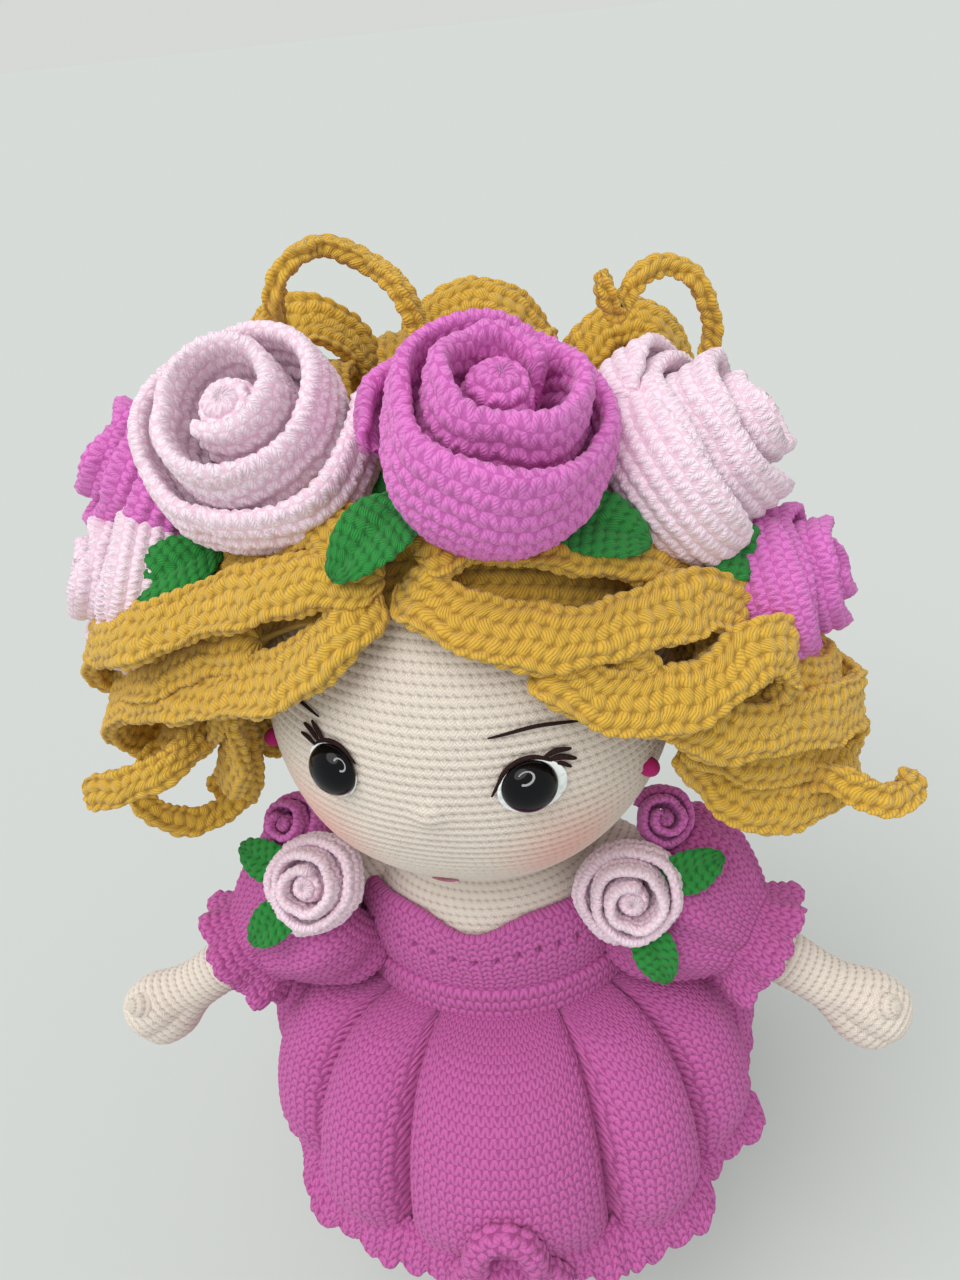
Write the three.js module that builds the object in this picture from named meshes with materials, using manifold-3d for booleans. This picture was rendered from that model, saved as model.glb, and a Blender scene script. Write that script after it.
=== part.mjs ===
// A crocheted doll with a rose crown, piled hair, puffed sleeves and a pleated skirt.
// Millimetres, +Z up. The doll faces -Y and its left arm is on the +X side.
// The origin is on the floor, under the middle of the doll.
import * as THREE from 'three';
import { mergeVertices } from 'three/addons/utils/BufferGeometryUtils.js';
import Module from 'manifold-3d';

const wasm = await Module();
wasm.setup();

// Driving dimensions
const headRadius = 50;
const headCentreHeight = 245;
const torsoBottomHeight = 84;
const torsoTopHeight = 206;
const torsoRadius = 31;
const torsoWidthShare = 1.26;
const legSpacing = 34;
const ankleRadius = 10.5;
const legTopHeight = 92;
const shoeLength = 38;
const shoeWidth = 25;
const shoeHeight = 17;
const soleThickness = 5;
const shoulderSpan = 64;
const shoulderHeight = 185;
const shoulderSetback = 2;
const armReach = 91;
const armRadius = 9;
const handRadius = 11.5;
const waistHeight = 151;
const waistbandHeight = 12;
const bodiceTopHeight = 186;
const fabricThickness = 3;
const skirtHemRadius = 69;
const skirtHemHeight = 99;
const pleatDepth = 9;
const frillHeight = 9;
const sleeveRadius = 24;
const sleeveLength = 40;
const cuffLength = 9;
const crownRoseDiameter = 50;
const shoulderRoseDiameter = 27;
const eyeDiameter = 12;
const lockWidth = 13.5;
const lockThickness = 5.5;
const capThickness = 2.4;

// Fits
const clearance = 0.3;
const runningGap = 0.5;
const capGap = 0.8;

// Turns and joint limits, in degrees
const faceYaw = -7.7;
const facePitch = -5.2;
const faceRoll = 2.5;
const armLowest = -5;
const armHighest = 20;

const colours = {
  skin: 0xded3c4,
  magenta: 0xbe509b,
  crownMagenta: 0xd769c3,
  palePink: 0xebcdde,
  leaf: 0x237d37,
  hair: 0xcda03c,
  black: 0x0b0b0d,
  felt: 0xe4ebe8,
  crimson: 0xaf286e,
  wood: 0xc9a878,
  plastic: 0xe8e8e4,
  shoe: 0xe9dfce,
};
const yarnFinish = { roughness: 0.9, metalness: 0 };
const glossFinish = { roughness: 0.08, metalness: 0 };
const plainFinish = { roughness: 0.5, metalness: 0 };

const origin = new THREE.Vector3(0, 0, 0);
const leftward = new THREE.Vector3(1, 0, 0);
const backward = new THREE.Vector3(0, 1, 0);
const upward = new THREE.Vector3(0, 0, 1);
const unitScale = new THREE.Vector3(1, 1, 1);

// Tools that turn rings of points into closed bodies

// A circle's points in the plane across an axis, with a radius for each angle.
function circleRing(centre, across, along, radiusAt, count) {
  const ring = [];
  for (let j = 0; j < count; j += 1) {
    const angle = (2 * Math.PI * j) / count;
    const radius = radiusAt(angle);
    const point = centre.clone();
    point.addScaledVector(across, radius * Math.cos(angle));
    point.addScaledVector(along, radius * Math.sin(angle));
    ring.push(point);
  }
  return ring;
}

function signedVolume(positions, index) {
  const a = new THREE.Vector3();
  const b = new THREE.Vector3();
  const c = new THREE.Vector3();
  let volume = 0;
  for (let k = 0; k < index.length; k += 3) {
    a.fromArray(positions, 3 * index[k]);
    b.fromArray(positions, 3 * index[k + 1]);
    c.fromArray(positions, 3 * index[k + 2]);
    volume += a.dot(b.cross(c));
  }
  return volume;
}

// Joins rings of equal count. A tube gets a cap on each end, at the given tips or
// at the ring's middle; a loop joins its last ring to its first instead.
function loft(rings, { loop = false, tips = [] } = {}) {
  const count = rings[0].length;
  const positions = [];
  const index = [];
  for (const ring of rings) {
    for (const point of ring) {
      positions.push(point.x, point.y, point.z);
    }
  }
  const bands = loop ? rings.length : rings.length - 1;
  for (let i = 0; i < bands; i += 1) {
    const next = (i + 1) % rings.length;
    for (let j = 0; j < count; j += 1) {
      const k = (j + 1) % count;
      index.push(i * count + j, i * count + k, next * count + k);
      index.push(i * count + j, next * count + k, next * count + j);
    }
  }
  if (!loop) {
    [0, rings.length - 1].forEach((row, side) => {
      const middle = new THREE.Vector3();
      rings[row].forEach((point) => middle.addScaledVector(point, 1 / count));
      const tip = tips[side] ?? middle;
      const centre = positions.length / 3;
      positions.push(tip.x, tip.y, tip.z);
      for (let j = 0; j < count; j += 1) {
        const here = row * count + j;
        const there = row * count + ((j + 1) % count);
        index.push(centre, side === 0 ? there : here, side === 0 ? here : there);
      }
    });
  }
  if (signedVolume(positions, index) < 0) {
    index.reverse();
  }
  const geometry = new THREE.BufferGeometry();
  geometry.setAttribute('position', new THREE.Float32BufferAttribute(positions, 3));
  geometry.setIndex(index);
  return geometry;
}

// A body turned about +Z from a profile of [radius, height] pairs that starts and
// ends on the axis.
function turned(profile, segments) {
  const rings = profile.slice(1, -1).map(([radius, height]) => (
    circleRing(new THREE.Vector3(0, 0, height), leftward, backward, () => radius, segments)
  ));
  const ends = [profile[0], profile[profile.length - 1]];
  return loft(rings, { tips: ends.map(([, height]) => new THREE.Vector3(0, 0, height)) });
}

// A ring-shaped body turned about +Z from a profile that closes on itself.
function turnedRing(profile, segments) {
  const geometry = new THREE.LatheGeometry(
    [...profile, profile[0]].map(([radius, height]) => new THREE.Vector2(radius, height)),
    segments,
  );
  return geometry.rotateX(Math.PI / 2);
}

function welded(geometry) {
  const copy = geometry.clone();
  copy.deleteAttribute('normal');
  copy.deleteAttribute('uv');
  const merged = mergeVertices(copy, 1e-4);
  const source = merged.index.array;
  const index = [];
  for (let k = 0; k < source.length; k += 3) {
    const [a, b, c] = [source[k], source[k + 1], source[k + 2]];
    if (a !== b && b !== c && c !== a) {
      index.push(a, b, c);
    }
  }
  if (signedVolume(merged.attributes.position.array, index) < 0) {
    index.reverse();
  }
  merged.setIndex(index);
  return merged;
}

function solidOf(geometry) {
  const closed = welded(geometry);
  return new wasm.Manifold(new wasm.Mesh({
    numProp: 3,
    vertProperties: new Float32Array(closed.attributes.position.array),
    triVerts: new Uint32Array(closed.index.array),
  }));
}

function geometryOf(solid) {
  const mesh = solid.getMesh();
  const geometry = new THREE.BufferGeometry();
  geometry.setAttribute('position', new THREE.Float32BufferAttribute(mesh.vertProperties, 3));
  geometry.setIndex(Array.from(mesh.triVerts));
  return geometry;
}

// Cuts a body by its neighbours and keeps its largest part.
function cut(geometry, cutters) {
  let solid = solidOf(geometry);
  for (const cutter of cutters) {
    solid = solid.subtract(solidOf(cutter));
  }
  const parts = solid.decompose();
  parts.sort((a, b) => b.volume() - a.volume());
  return geometryOf(parts[0]);
}

function joined(first, second) {
  return geometryOf(solidOf(first).add(solidOf(second)));
}

function ball(radius, centre, segments) {
  const rowShare = 0.7;
  const rows = Math.round(segments * rowShare);
  return new THREE.SphereGeometry(radius, segments, rows).translate(centre.x, centre.y, centre.z);
}

function rod(radius, bottom, top, segments) {
  return turned([[0, bottom], [radius, bottom], [radius, top], [0, top]], segments);
}

function seatMatrix(position, direction) {
  const turn = new THREE.Quaternion().setFromUnitVectors(upward, direction.clone().normalize());
  return new THREE.Matrix4().compose(position, turn, unitScale);
}

function fromShares(shares, size) {
  return new THREE.Vector3(...shares).multiplyScalar(size);
}

// A smooth outline through hand-chosen [radius share, height share] pairs.
function smoothOutline(shares, radius, bottom, height, steps) {
  const curve = new THREE.SplineCurve(
    shares.map(([r, h]) => new THREE.Vector2(r * radius, bottom + h * height)),
  );
  return curve.getPoints(steps).map((point) => [Math.max(point.x, 0), point.y]);
}

const doll = new THREE.Group();
const headGroup = new THREE.Group();
headGroup.position.set(0, 0, headCentreHeight);
doll.add(headGroup);

function addPiece(parent, name, geometry, colour, finish = yarnFinish) {
  const mesh = new THREE.Mesh(geometry, new THREE.MeshStandardMaterial({ color: colour, ...finish }));
  mesh.name = name;
  parent.add(mesh);
  return mesh;
}

// Torso: hips, waist, chest and a neck that cups the head

const torsoOutlineShares = [
  [0, 0], [0.55, 0.01], [0.88, 0.07], [1, 0.17], [0.97, 0.3], [0.88, 0.47],
  [0.88, 0.62], [0.92, 0.74], [0.84, 0.84], [0.6, 0.91], [0.44, 0.95], [0.42, 1],
];
const torsoSteps = 14;
const torsoSegments = 20;
const torsoHeight = torsoTopHeight - torsoBottomHeight;

function torsoProfile(extra) {
  const outline = smoothOutline(torsoOutlineShares, torsoRadius, torsoBottomHeight, torsoHeight, torsoSteps);
  const grown = outline.slice(1).map(([radius, height]) => [radius + extra, height]);
  return [[0, torsoBottomHeight - extra], ...grown, [0, torsoTopHeight]];
}

// A body turned from a profile and widened from side to side, as the torso is.
function broadTurned(profile, segments) {
  return turned(profile, segments).scale(torsoWidthShare, 1, 1);
}

function torsoRadiusAt(height) {
  const profile = torsoProfile(0);
  for (let i = 1; i < profile.length; i += 1) {
    const [r0, h0] = profile[i - 1];
    const [r1, h1] = profile[i];
    if (height >= h0 && height <= h1 && h1 > h0) {
      return r0 + ((r1 - r0) * (height - h0)) / (h1 - h0);
    }
  }
  return torsoRadius;
}

// Each arm is laid out along an axis from its shoulder. The left arm is held a
// little higher than the right one.
const armSides = [
  { name: 'left', side: 1, droop: 27, forward: 21, roseAlong: 8, roseAround: 57 },
  { name: 'right', side: -1, droop: 29.5, forward: 15.5, roseAlong: 9.5, roseAround: 42 },
];

for (const arm of armSides) {
  const droop = THREE.MathUtils.degToRad(arm.droop);
  const forward = THREE.MathUtils.degToRad(arm.forward);
  arm.shoulder = new THREE.Vector3((arm.side * shoulderSpan) / 2, -shoulderSetback, shoulderHeight);
  arm.along = new THREE.Vector3(
    arm.side * Math.cos(droop) * Math.cos(forward),
    -Math.cos(droop) * Math.sin(forward),
    -Math.sin(droop),
  );
  arm.up = upward.clone().addScaledVector(arm.along, -arm.along.z).normalize();
  arm.front = new THREE.Vector3().crossVectors(arm.along, arm.up).multiplyScalar(arm.side);
}

// A ring of points round an arm. Angle 0 is up and a quarter turn is to the front.
function armRing(arm, distance, radiusAt, count) {
  const centre = arm.shoulder.clone().addScaledVector(arm.along, distance);
  return circleRing(centre, arm.up, arm.front, radiusAt, count);
}

// The same body with the arm raised by some degrees at its shoulder seam.
function raised(geometry, arm, degrees) {
  const turn = new THREE.Matrix4().makeRotationY(THREE.MathUtils.degToRad(-arm.side * degrees));
  const copy = geometry.clone();
  copy.translate(-arm.shoulder.x, -arm.shoulder.y, -arm.shoulder.z);
  copy.applyMatrix4(turn);
  return copy.translate(arm.shoulder.x, arm.shoulder.y, arm.shoulder.z);
}

const armOutlineShares = [
  [-0.072, 0.6], [-0.04, 0.88], [0, 1], [0.12, 1], [0.35, 0.95], [0.58, 0.84], [0.74, 0.78],
  [0.8, 0.98], [0.88, 1.22], [0.95, 1.12], [0.985, 0.75],
];
const armSegments = 12;
const handFlatShare = 0.72;

function armBody(arm, extra) {
  const flatAfterShare = 0.78;
  const rings = armOutlineShares.map(([distance, radius]) => {
    const flat = distance > flatAfterShare ? handFlatShare : 1;
    return armRing(arm, distance * armReach, (angle) => {
      const reach = radius * armRadius + extra;
      return reach * (flat + (1 - flat) * Math.abs(Math.cos(angle)));
    }, armSegments);
  });
  const heel = arm.shoulder.clone().addScaledVector(arm.along, -armRadius - extra);
  const tip = arm.shoulder.clone().addScaledVector(arm.along, armReach + extra);
  return loft(rings, { tips: [heel, tip] });
}

// The thumb stands off the upper edge of the hand.
function thumb(arm) {
  const rootShare = 0.86;
  const lengthShare = 1.35;
  const widthShare = 0.42;
  const [alongShare, frontShare] = [0.35, 0.45];
  const lean = arm.up.clone().addScaledVector(arm.along, alongShare).addScaledVector(arm.front, frontShare);
  const root = arm.shoulder.clone().addScaledVector(arm.along, rootShare * armReach);
  const geometry = new THREE.SphereGeometry(1, 8, 6);
  geometry.scale(widthShare * handRadius, widthShare * handRadius, lengthShare * handRadius);
  return geometry.applyMatrix4(seatMatrix(root, lean));
}

function armWithHand(arm) {
  return joined(armBody(arm, 0), thumb(arm));
}

// The room that an arm's shoulder ball and its root need as the arm is raised and lowered.
const armRootLength = 24;
const armRootSpare = 1;

function armRoom(arm) {
  const root = [0, armRootLength].map((distance) => (
    armRing(arm, distance, () => armRadius + runningGap + armRootSpare, armSegments)
  ));
  return [
    ball(armRadius + runningGap, arm.shoulder, armSegments),
    raised(loft(root), arm, armLowest),
    raised(loft(root), arm, armHighest),
  ];
}
const armRooms = armSides.flatMap(armRoom);

// The neck dowel stiffens the neck and is the pin that the head turns on.
const dowelRadius = 4;
const dowelBottomHeight = 140;
const dowelTopShare = 0.4;
const dowelTopHeight = headCentreHeight - dowelTopShare * headRadius;
const dowelSegments = 12;

function dowelBody(extra) {
  return rod(dowelRadius + extra, dowelBottomHeight - extra, dowelTopHeight + extra, dowelSegments);
}

const headSegments = 24;
const headCentre = new THREE.Vector3(0, 0, headCentreHeight);
const torsoGeometry = cut(broadTurned(torsoProfile(0), torsoSegments), [
  ball(headRadius + runningGap, headCentre, headSegments),
  ...armRooms,
  dowelBody(clearance),
]);
addPiece(doll, 'torso', torsoGeometry, colours.skin);
addPiece(doll, 'neck_dowel', dowelBody(0), colours.wood, plainFinish);

// Legs and shoes

const legOutlineShares = [
  [0, 0], [1, 0], [1, 0.15], [1.08, 0.45], [1.32, 0.75], [1.5, 0.94], [1.38, 1], [0, 1],
];
const shoeOutlineShares = [[0.86, 0], [1, 0.12], [1.02, 0.4], [0.9, 0.75], [0.66, 1]];
const shoeSegments = 20;
const legSegments = 16;
const shoeForwardShare = 0.17;

for (const { name, side } of armSides) {
  const legX = (side * legSpacing) / 2;
  const legBottom = soleThickness + clearance;
  const legLength = legTopHeight - legBottom;
  const profile = legOutlineShares.map(([radius, height]) => (
    [radius * ankleRadius, legBottom + height * legLength]
  ));
  const leg = turned(profile, legSegments).translate(legX, 0, 0);
  const torsoRoom = broadTurned(torsoProfile(clearance), torsoSegments);
  addPiece(doll, `${name}_leg`, cut(leg, [torsoRoom]), colours.skin);

  const shoeCentre = -shoeForwardShare * shoeLength;
  const rings = shoeOutlineShares.map(([spread, height]) => {
    const lean = height * height * shoeForwardShare * shoeLength;
    const middle = new THREE.Vector3(legX, shoeCentre + lean, height * shoeHeight);
    const across = new THREE.Vector3(shoeWidth / 2, 0, 0);
    const along = new THREE.Vector3(0, shoeLength / 2, 0);
    return circleRing(middle, across, along, () => spread, shoeSegments);
  });
  const ankleHole = rod(ankleRadius + clearance, soleThickness, legTopHeight, legSegments);
  addPiece(doll, `${name}_shoe`, cut(loft(rings), [ankleHole.translate(legX, 0, 0)]), colours.shoe);
}

for (const arm of armSides) {
  addPiece(doll, `${arm.name}_arm`, armWithHand(arm), colours.skin);
}

// Dress: bodice, waistband, pleated skirt and frilled hem

const bodiceSegments = 2 * torsoSegments;
const bodiceBottomHeight = waistHeight + waistbandHeight + clearance;
const bodiceSteps = 3;
const necklineDip = 5;
const necklineDrop = 9;
const necklineShift = 4;
const necklineDipSpread = 0.28;

// The sweetheart neckline: highest in front of each shoulder, dipped at the middle of
// the chest and lower under the arms and at the back.
function necklineHeight(angle) {
  const front = Math.atan2(Math.cos(angle) + necklineShift / torsoRadius, -Math.sin(angle));
  const dip = necklineDip * Math.exp(-((front / necklineDipSpread) ** 2));
  const swell = necklineDrop * Math.sin(front / 2) ** 4;
  return bodiceTopHeight - dip - swell;
}

function fabricRing(heightAt, offset, count) {
  const ring = [];
  for (let j = 0; j < count; j += 1) {
    const angle = (2 * Math.PI * j) / count;
    const height = heightAt(angle);
    const radius = torsoRadiusAt(height) + offset;
    const x = torsoWidthShare * radius * Math.cos(angle);
    ring.push(new THREE.Vector3(x, radius * Math.sin(angle), height));
  }
  return ring;
}

function bodiceShell() {
  const rings = [];
  const level = (share) => (angle) => (
    bodiceBottomHeight + share * (necklineHeight(angle) - bodiceBottomHeight)
  );
  for (let i = 0; i <= bodiceSteps; i += 1) {
    rings.push(fabricRing(level(i / bodiceSteps), runningGap + fabricThickness, bodiceSegments));
  }
  for (let i = bodiceSteps; i >= 0; i -= 1) {
    rings.push(fabricRing(level(i / bodiceSteps), runningGap, bodiceSegments));
  }
  return loft(rings, { loop: true });
}

addPiece(doll, 'bodice', cut(bodiceShell(), armRooms), colours.magenta);

const waistbandTop = waistHeight + waistbandHeight;
const waistInner = Math.max(torsoRadiusAt(waistHeight), torsoRadiusAt(waistbandTop)) + clearance;
const waistOuter = waistInner + fabricThickness + clearance;
const waistbandBulge = 0.8;
const waistSegments = 30;
const waistband = turnedRing([
  [waistInner, waistHeight],
  [waistOuter, waistHeight],
  [waistOuter + waistbandBulge, waistHeight + waistbandHeight / 2],
  [waistOuter, waistbandTop],
  [waistInner, waistbandTop],
], waistSegments).scale(torsoWidthShare, 1, 1);
addPiece(doll, 'waistband', waistband, colours.magenta);

// The skirt's front panel is twice as wide as its other pleats.
const frontPanelAngle = 50;
const narrowPleats = 12;
const pointsPerPleat = 4;
const pointsInPanel = 8;
const skirtSteps = 7;
const hemLift = 9;
const hemLiftSpread = 16;
const puffShare = 0.2;

function skirtAngles() {
  const angles = [];
  for (let j = 0; j < pointsInPanel; j += 1) {
    const across = j / pointsInPanel;
    angles.push({ degrees: -frontPanelAngle / 2 + across * frontPanelAngle, across });
  }
  const pleatAngle = (360 - frontPanelAngle) / narrowPleats;
  for (let i = 0; i < narrowPleats; i += 1) {
    for (let j = 0; j < pointsPerPleat; j += 1) {
      const across = j / pointsPerPleat;
      angles.push({ degrees: frontPanelAngle / 2 + (i + across) * pleatAngle, across });
    }
  }
  return angles;
}

// The hem curls up in the middle of the front.
function hemLiftAt(degrees) {
  const front = ((degrees + 180) % 360) - 180;
  return hemLift * Math.exp(-((front / hemLiftSpread) ** 2));
}

// Radius and height down a quarter-ellipse bell, with each pleat rounded outwards. The
// bell is as broad as the torso at its top and round at its hem.
function skirtPoint({ degrees, across }, share, inward, extra) {
  const turn = THREE.MathUtils.degToRad(degrees);
  const top = waistHeight - clearance;
  const drop = top - skirtHemHeight - hemLiftAt(degrees);
  const bell = Math.sin((share * Math.PI) / 2);
  const round = Math.sqrt(Math.max(0, 1 - (2 * across - 1) ** 2));
  const puff = inward > 0 ? 0 : pleatDepth * round * Math.min(1, share / puffShare);
  const radius = waistOuter + (skirtHemRadius - waistOuter) * bell + puff - inward + extra;
  const height = top - drop * (1 - Math.cos((share * Math.PI) / 2)) - inward * (1 - share) + extra;
  const broad = torsoWidthShare + (1 - torsoWidthShare) * bell;
  return new THREE.Vector3(broad * radius * Math.sin(turn), -radius * Math.cos(turn), height);
}

function skirtShell(extra) {
  const angles = skirtAngles();
  const rings = [];
  for (let i = 0; i <= skirtSteps; i += 1) {
    rings.push(angles.map((angle) => skirtPoint(angle, i / skirtSteps, 0, extra)));
  }
  for (let i = skirtSteps; i >= 0; i -= 2) {
    rings.push(angles.map((angle) => skirtPoint(angle, i / skirtSteps, fabricThickness, 0)));
  }
  return loft(rings, { loop: true });
}
addPiece(doll, 'skirt', skirtShell(0), colours.magenta);

const frillWaves = 20;
const pointsPerWave = 4;
const frillWave = 3;
const frillFlare = 2;

function frillRing(drop, outward) {
  const count = frillWaves * pointsPerWave;
  const ring = [];
  for (let j = 0; j < count; j += 1) {
    const degrees = (360 * j) / count;
    const turn = THREE.MathUtils.degToRad(degrees);
    const wave = frillWave * drop * Math.cos(frillWaves * turn);
    const radius = skirtHemRadius + frillFlare * drop + wave + outward;
    const top = skirtHemHeight + hemLiftAt(degrees) - clearance;
    const height = top - drop * frillHeight;
    ring.push(new THREE.Vector3(radius * Math.sin(turn), -radius * Math.cos(turn), height));
  }
  return ring;
}

const frillOutset = fabricThickness / 2;
const frillDropShares = [0, 0.5, 1];
addPiece(doll, 'hem_frill', loft([
  ...frillDropShares.map((drop) => frillRing(drop, frillOutset)),
  frillRing(1, -fabricThickness),
  frillRing(0, -fabricThickness),
], { loop: true }), colours.magenta);

// Sleeves, cuffs and shoulder flowers, which move with the arms

const sleeveStart = 8;
const sleeveGathers = 8;
const sleeveGatherShare = 0.05;
const sleeveSegments = 20;
const sleeveEndShare = 0.64;
const sleeveOutlineShares = [
  [0.02, 0.7], [0.16, 0.94], [0.4, 1], [0.72, 0.88], [1, sleeveEndShare],
];

function sleeveRing(arm, share, radius) {
  const distance = sleeveStart + share * (sleeveLength - sleeveStart);
  const gather = (angle) => radius * (1 + sleeveGatherShare * Math.cos(sleeveGathers * angle));
  return armRing(arm, distance, gather, sleeveSegments);
}

function sleeveShell(arm, extra) {
  const bore = armRadius + runningGap - extra;
  const outer = sleeveOutlineShares.map(([share, radius]) => (
    sleeveRing(arm, share, radius * sleeveRadius + extra)
  ));
  const inner = sleeveOutlineShares.slice(1).reverse().map(([share, radius]) => (
    sleeveRing(arm, share, radius * sleeveRadius - fabricThickness - extra)
  ));
  const seam = [fabricThickness, 0].map((inset) => (
    armRing(arm, sleeveStart + inset, () => bore, sleeveSegments)
  ));
  return loft([...outer, ...inner, ...seam], { loop: true });
}

function cuffShell(arm) {
  const waves = 9;
  const waveDepth = 1.6;
  const points = 36;
  const innerStart = sleeveEndShare * sleeveRadius - fabricThickness;
  const flare = 2.5;
  const lengthShares = [0, 0.6, 1];
  const ring = (share, outward) => {
    const radiusAt = (angle) => innerStart + outward + share * (flare + waveDepth * Math.cos(waves * angle));
    return armRing(arm, sleeveLength + clearance + share * cuffLength, radiusAt, points);
  };
  const outer = lengthShares.map((share) => ring(share, fabricThickness));
  return loft([...outer, ring(1, 0), ring(0, 0)], { loop: true });
}

// A rolled rose: a dome with a spiral groove, wider than high, on a narrower base.
function roseBody(diameter, height, extra = 0) {
  const turns = 2.6;
  const rows = 7;
  const segments = 16;
  const petals = 5;
  const petalShare = 0.035;
  const grooveShare = 0.13;
  const rimShare = 0.42;
  const domeShare = 0.5;
  const rimWidthShare = 0.97;
  const baseShare = 0.55;
  const half = diameter / 2;
  const rings = [];
  for (let i = 1; i <= rows; i += 1) {
    const out = i / rows;
    const ring = [];
    for (let j = 0; j < segments; j += 1) {
      const angle = (2 * Math.PI * j) / segments;
      const radius = out * half * (1 + petalShare * Math.cos(petals * angle)) + extra;
      const groove = i < rows ? Math.abs(Math.sin(Math.PI * out * turns - angle / 2)) : 1;
      const dome = 1 - domeShare * out ** 3 - grooveShare * (1 - groove);
      const z = (dome - domeShare) * height + extra;
      ring.push(new THREE.Vector3(radius * Math.cos(angle), radius * Math.sin(angle), z));
    }
    rings.push(ring);
  }
  const rim = new THREE.Vector3(0, 0, -rimShare * domeShare * height);
  const base = new THREE.Vector3(0, 0, -domeShare * height - extra);
  rings.push(circleRing(rim, leftward, backward, () => rimWidthShare * half + extra, segments));
  rings.push(circleRing(base, leftward, backward, () => baseShare * half + extra, segments));
  return loft(rings, { tips: [new THREE.Vector3(0, 0, domeShare * height + extra), base] });
}

// A pointed leaf from its base to its tip, cupped about its middle rib.
const leafSectionShares = [
  [1, 0.25], [0.5, 1], [0, 0.55], [-0.5, 1], [-1, 0.25], [-0.6, -0.8], [0.6, -0.8],
];
const leafPointShare = 0.12;
const leafFullness = 0.8;
const leafEdgeShare = 0.4;

function leafBody(base, tip, face, width, thickness, extra = 0) {
  const steps = 6;
  const along = tip.clone().sub(base);
  const across = new THREE.Vector3().crossVectors(along, face).normalize();
  const normal = new THREE.Vector3().crossVectors(across, along).normalize();
  const archShare = 0.1;
  const rings = [];
  for (let i = 0; i <= steps; i += 1) {
    const share = i / steps;
    const swell = Math.sin(Math.PI * share ** leafFullness) ** leafFullness;
    const full = leafPointShare + (1 - leafPointShare) * swell;
    const centre = base.clone().addScaledVector(along, share);
    centre.addScaledVector(normal, archShare * along.length() * Math.sin(Math.PI * share));
    const half = full * (width / 2) + extra;
    const thick = (thickness / 2) * (leafEdgeShare + (1 - leafEdgeShare) * full) + extra;
    rings.push(leafSectionShares.map(([a, n]) => (
      centre.clone().addScaledVector(across, a * half).addScaledVector(normal, n * thick)
    )));
  }
  return loft(rings);
}

const shoulderRoseHeight = 12;
const shoulderLeafLength = 17;
const shoulderLeafWidth = 10;
const leafThickness = 3;
const roseSeatShare = 0.86;
const leafRootShare = 0.28;
const shoulderLeafLeans = [['upper', -62], ['lower', 42]];

// What a sleeve and its cuff must clear: the bodice, the waistband and the skirt, each
// grown by the running gap, with the arm at its lowest, at rest and at its highest.
function sleeveNeighbours(arm) {
  const offset = fabricThickness + 2 * runningGap;
  const top = bodiceTopHeight + runningGap;
  const sides = torsoProfile(offset).slice(0, -1).filter(([, height]) => height < top);
  const bodiceBlock = broadTurned([...sides, [torsoRadiusAt(top) + offset, top], [0, top]], torsoSegments);
  const waistRadius = waistOuter + waistbandBulge + runningGap;
  const waistBlock = rod(waistRadius, waistHeight - runningGap, waistbandTop + runningGap, torsoSegments);
  waistBlock.scale(torsoWidthShare, 1, 1);
  return [armLowest, 0, armHighest].flatMap((degrees) => (
    [bodiceBlock, waistBlock, skirtShell(runningGap)].map((block) => raised(block, arm, -degrees))
  ));
}

for (const arm of armSides) {
  const neighbours = sleeveNeighbours(arm);
  addPiece(doll, `${arm.name}_sleeve`, cut(sleeveShell(arm, 0), neighbours), colours.magenta);
  addPiece(doll, `${arm.name}_cuff`, cut(cuffShell(arm), neighbours), colours.magenta);

  const around = THREE.MathUtils.degToRad(arm.roseAround);
  const outward = arm.up.clone().multiplyScalar(Math.cos(around));
  outward.addScaledVector(arm.front, Math.sin(around));
  const roseCentre = arm.shoulder.clone().addScaledVector(arm.along, arm.roseAlong);
  roseCentre.addScaledVector(outward, roseSeatShare * sleeveRadius + shoulderRoseHeight / 2);
  const rosePlace = seatMatrix(roseCentre, outward);
  const sleeveGrown = sleeveShell(arm, clearance);
  const rose = roseBody(shoulderRoseDiameter, shoulderRoseHeight).applyMatrix4(rosePlace);
  addPiece(doll, `${arm.name}_shoulder_rose`, cut(rose, [sleeveGrown]), colours.palePink);

  const roseGrown = roseBody(shoulderRoseDiameter, shoulderRoseHeight, clearance).applyMatrix4(rosePlace);
  const leafRoot = roseCentre.clone().addScaledVector(outward, -shoulderRoseHeight / 3);
  const tangent = new THREE.Vector3().crossVectors(outward, arm.along).multiplyScalar(arm.side).normalize();
  for (const [place, degrees] of shoulderLeafLeans) {
    const lean = THREE.MathUtils.degToRad(degrees);
    const way = arm.along.clone().multiplyScalar(Math.cos(lean)).addScaledVector(tangent, Math.sin(lean));
    const base = leafRoot.clone().addScaledVector(way, leafRootShare * shoulderRoseDiameter);
    const tip = base.clone().addScaledVector(way, shoulderLeafLength);
    const leaf = leafBody(base, tip, outward, shoulderLeafWidth, leafThickness);
    addPiece(doll, `${arm.name}_shoulder_leaf_${place}`, cut(leaf, [sleeveGrown, roseGrown]), colours.leaf);
  }
}

// Head, eyes and earrings, laid out about the head's centre

const faceTurn = new THREE.Euler(
  THREE.MathUtils.degToRad(facePitch),
  THREE.MathUtils.degToRad(faceRoll),
  THREE.MathUtils.degToRad(faceYaw),
  'ZYX',
);

// A place on the face at some degrees to the doll's left and some degrees up.
function faceSeat(azimuth, latitude, distance) {
  const az = THREE.MathUtils.degToRad(azimuth);
  const lat = THREE.MathUtils.degToRad(latitude);
  const direction = new THREE.Vector3(0, -1, 0).applyAxisAngle(leftward, -lat).applyAxisAngle(upward, az);
  direction.applyEuler(faceTurn);
  return seatMatrix(direction.clone().multiplyScalar(distance), direction);
}

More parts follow.
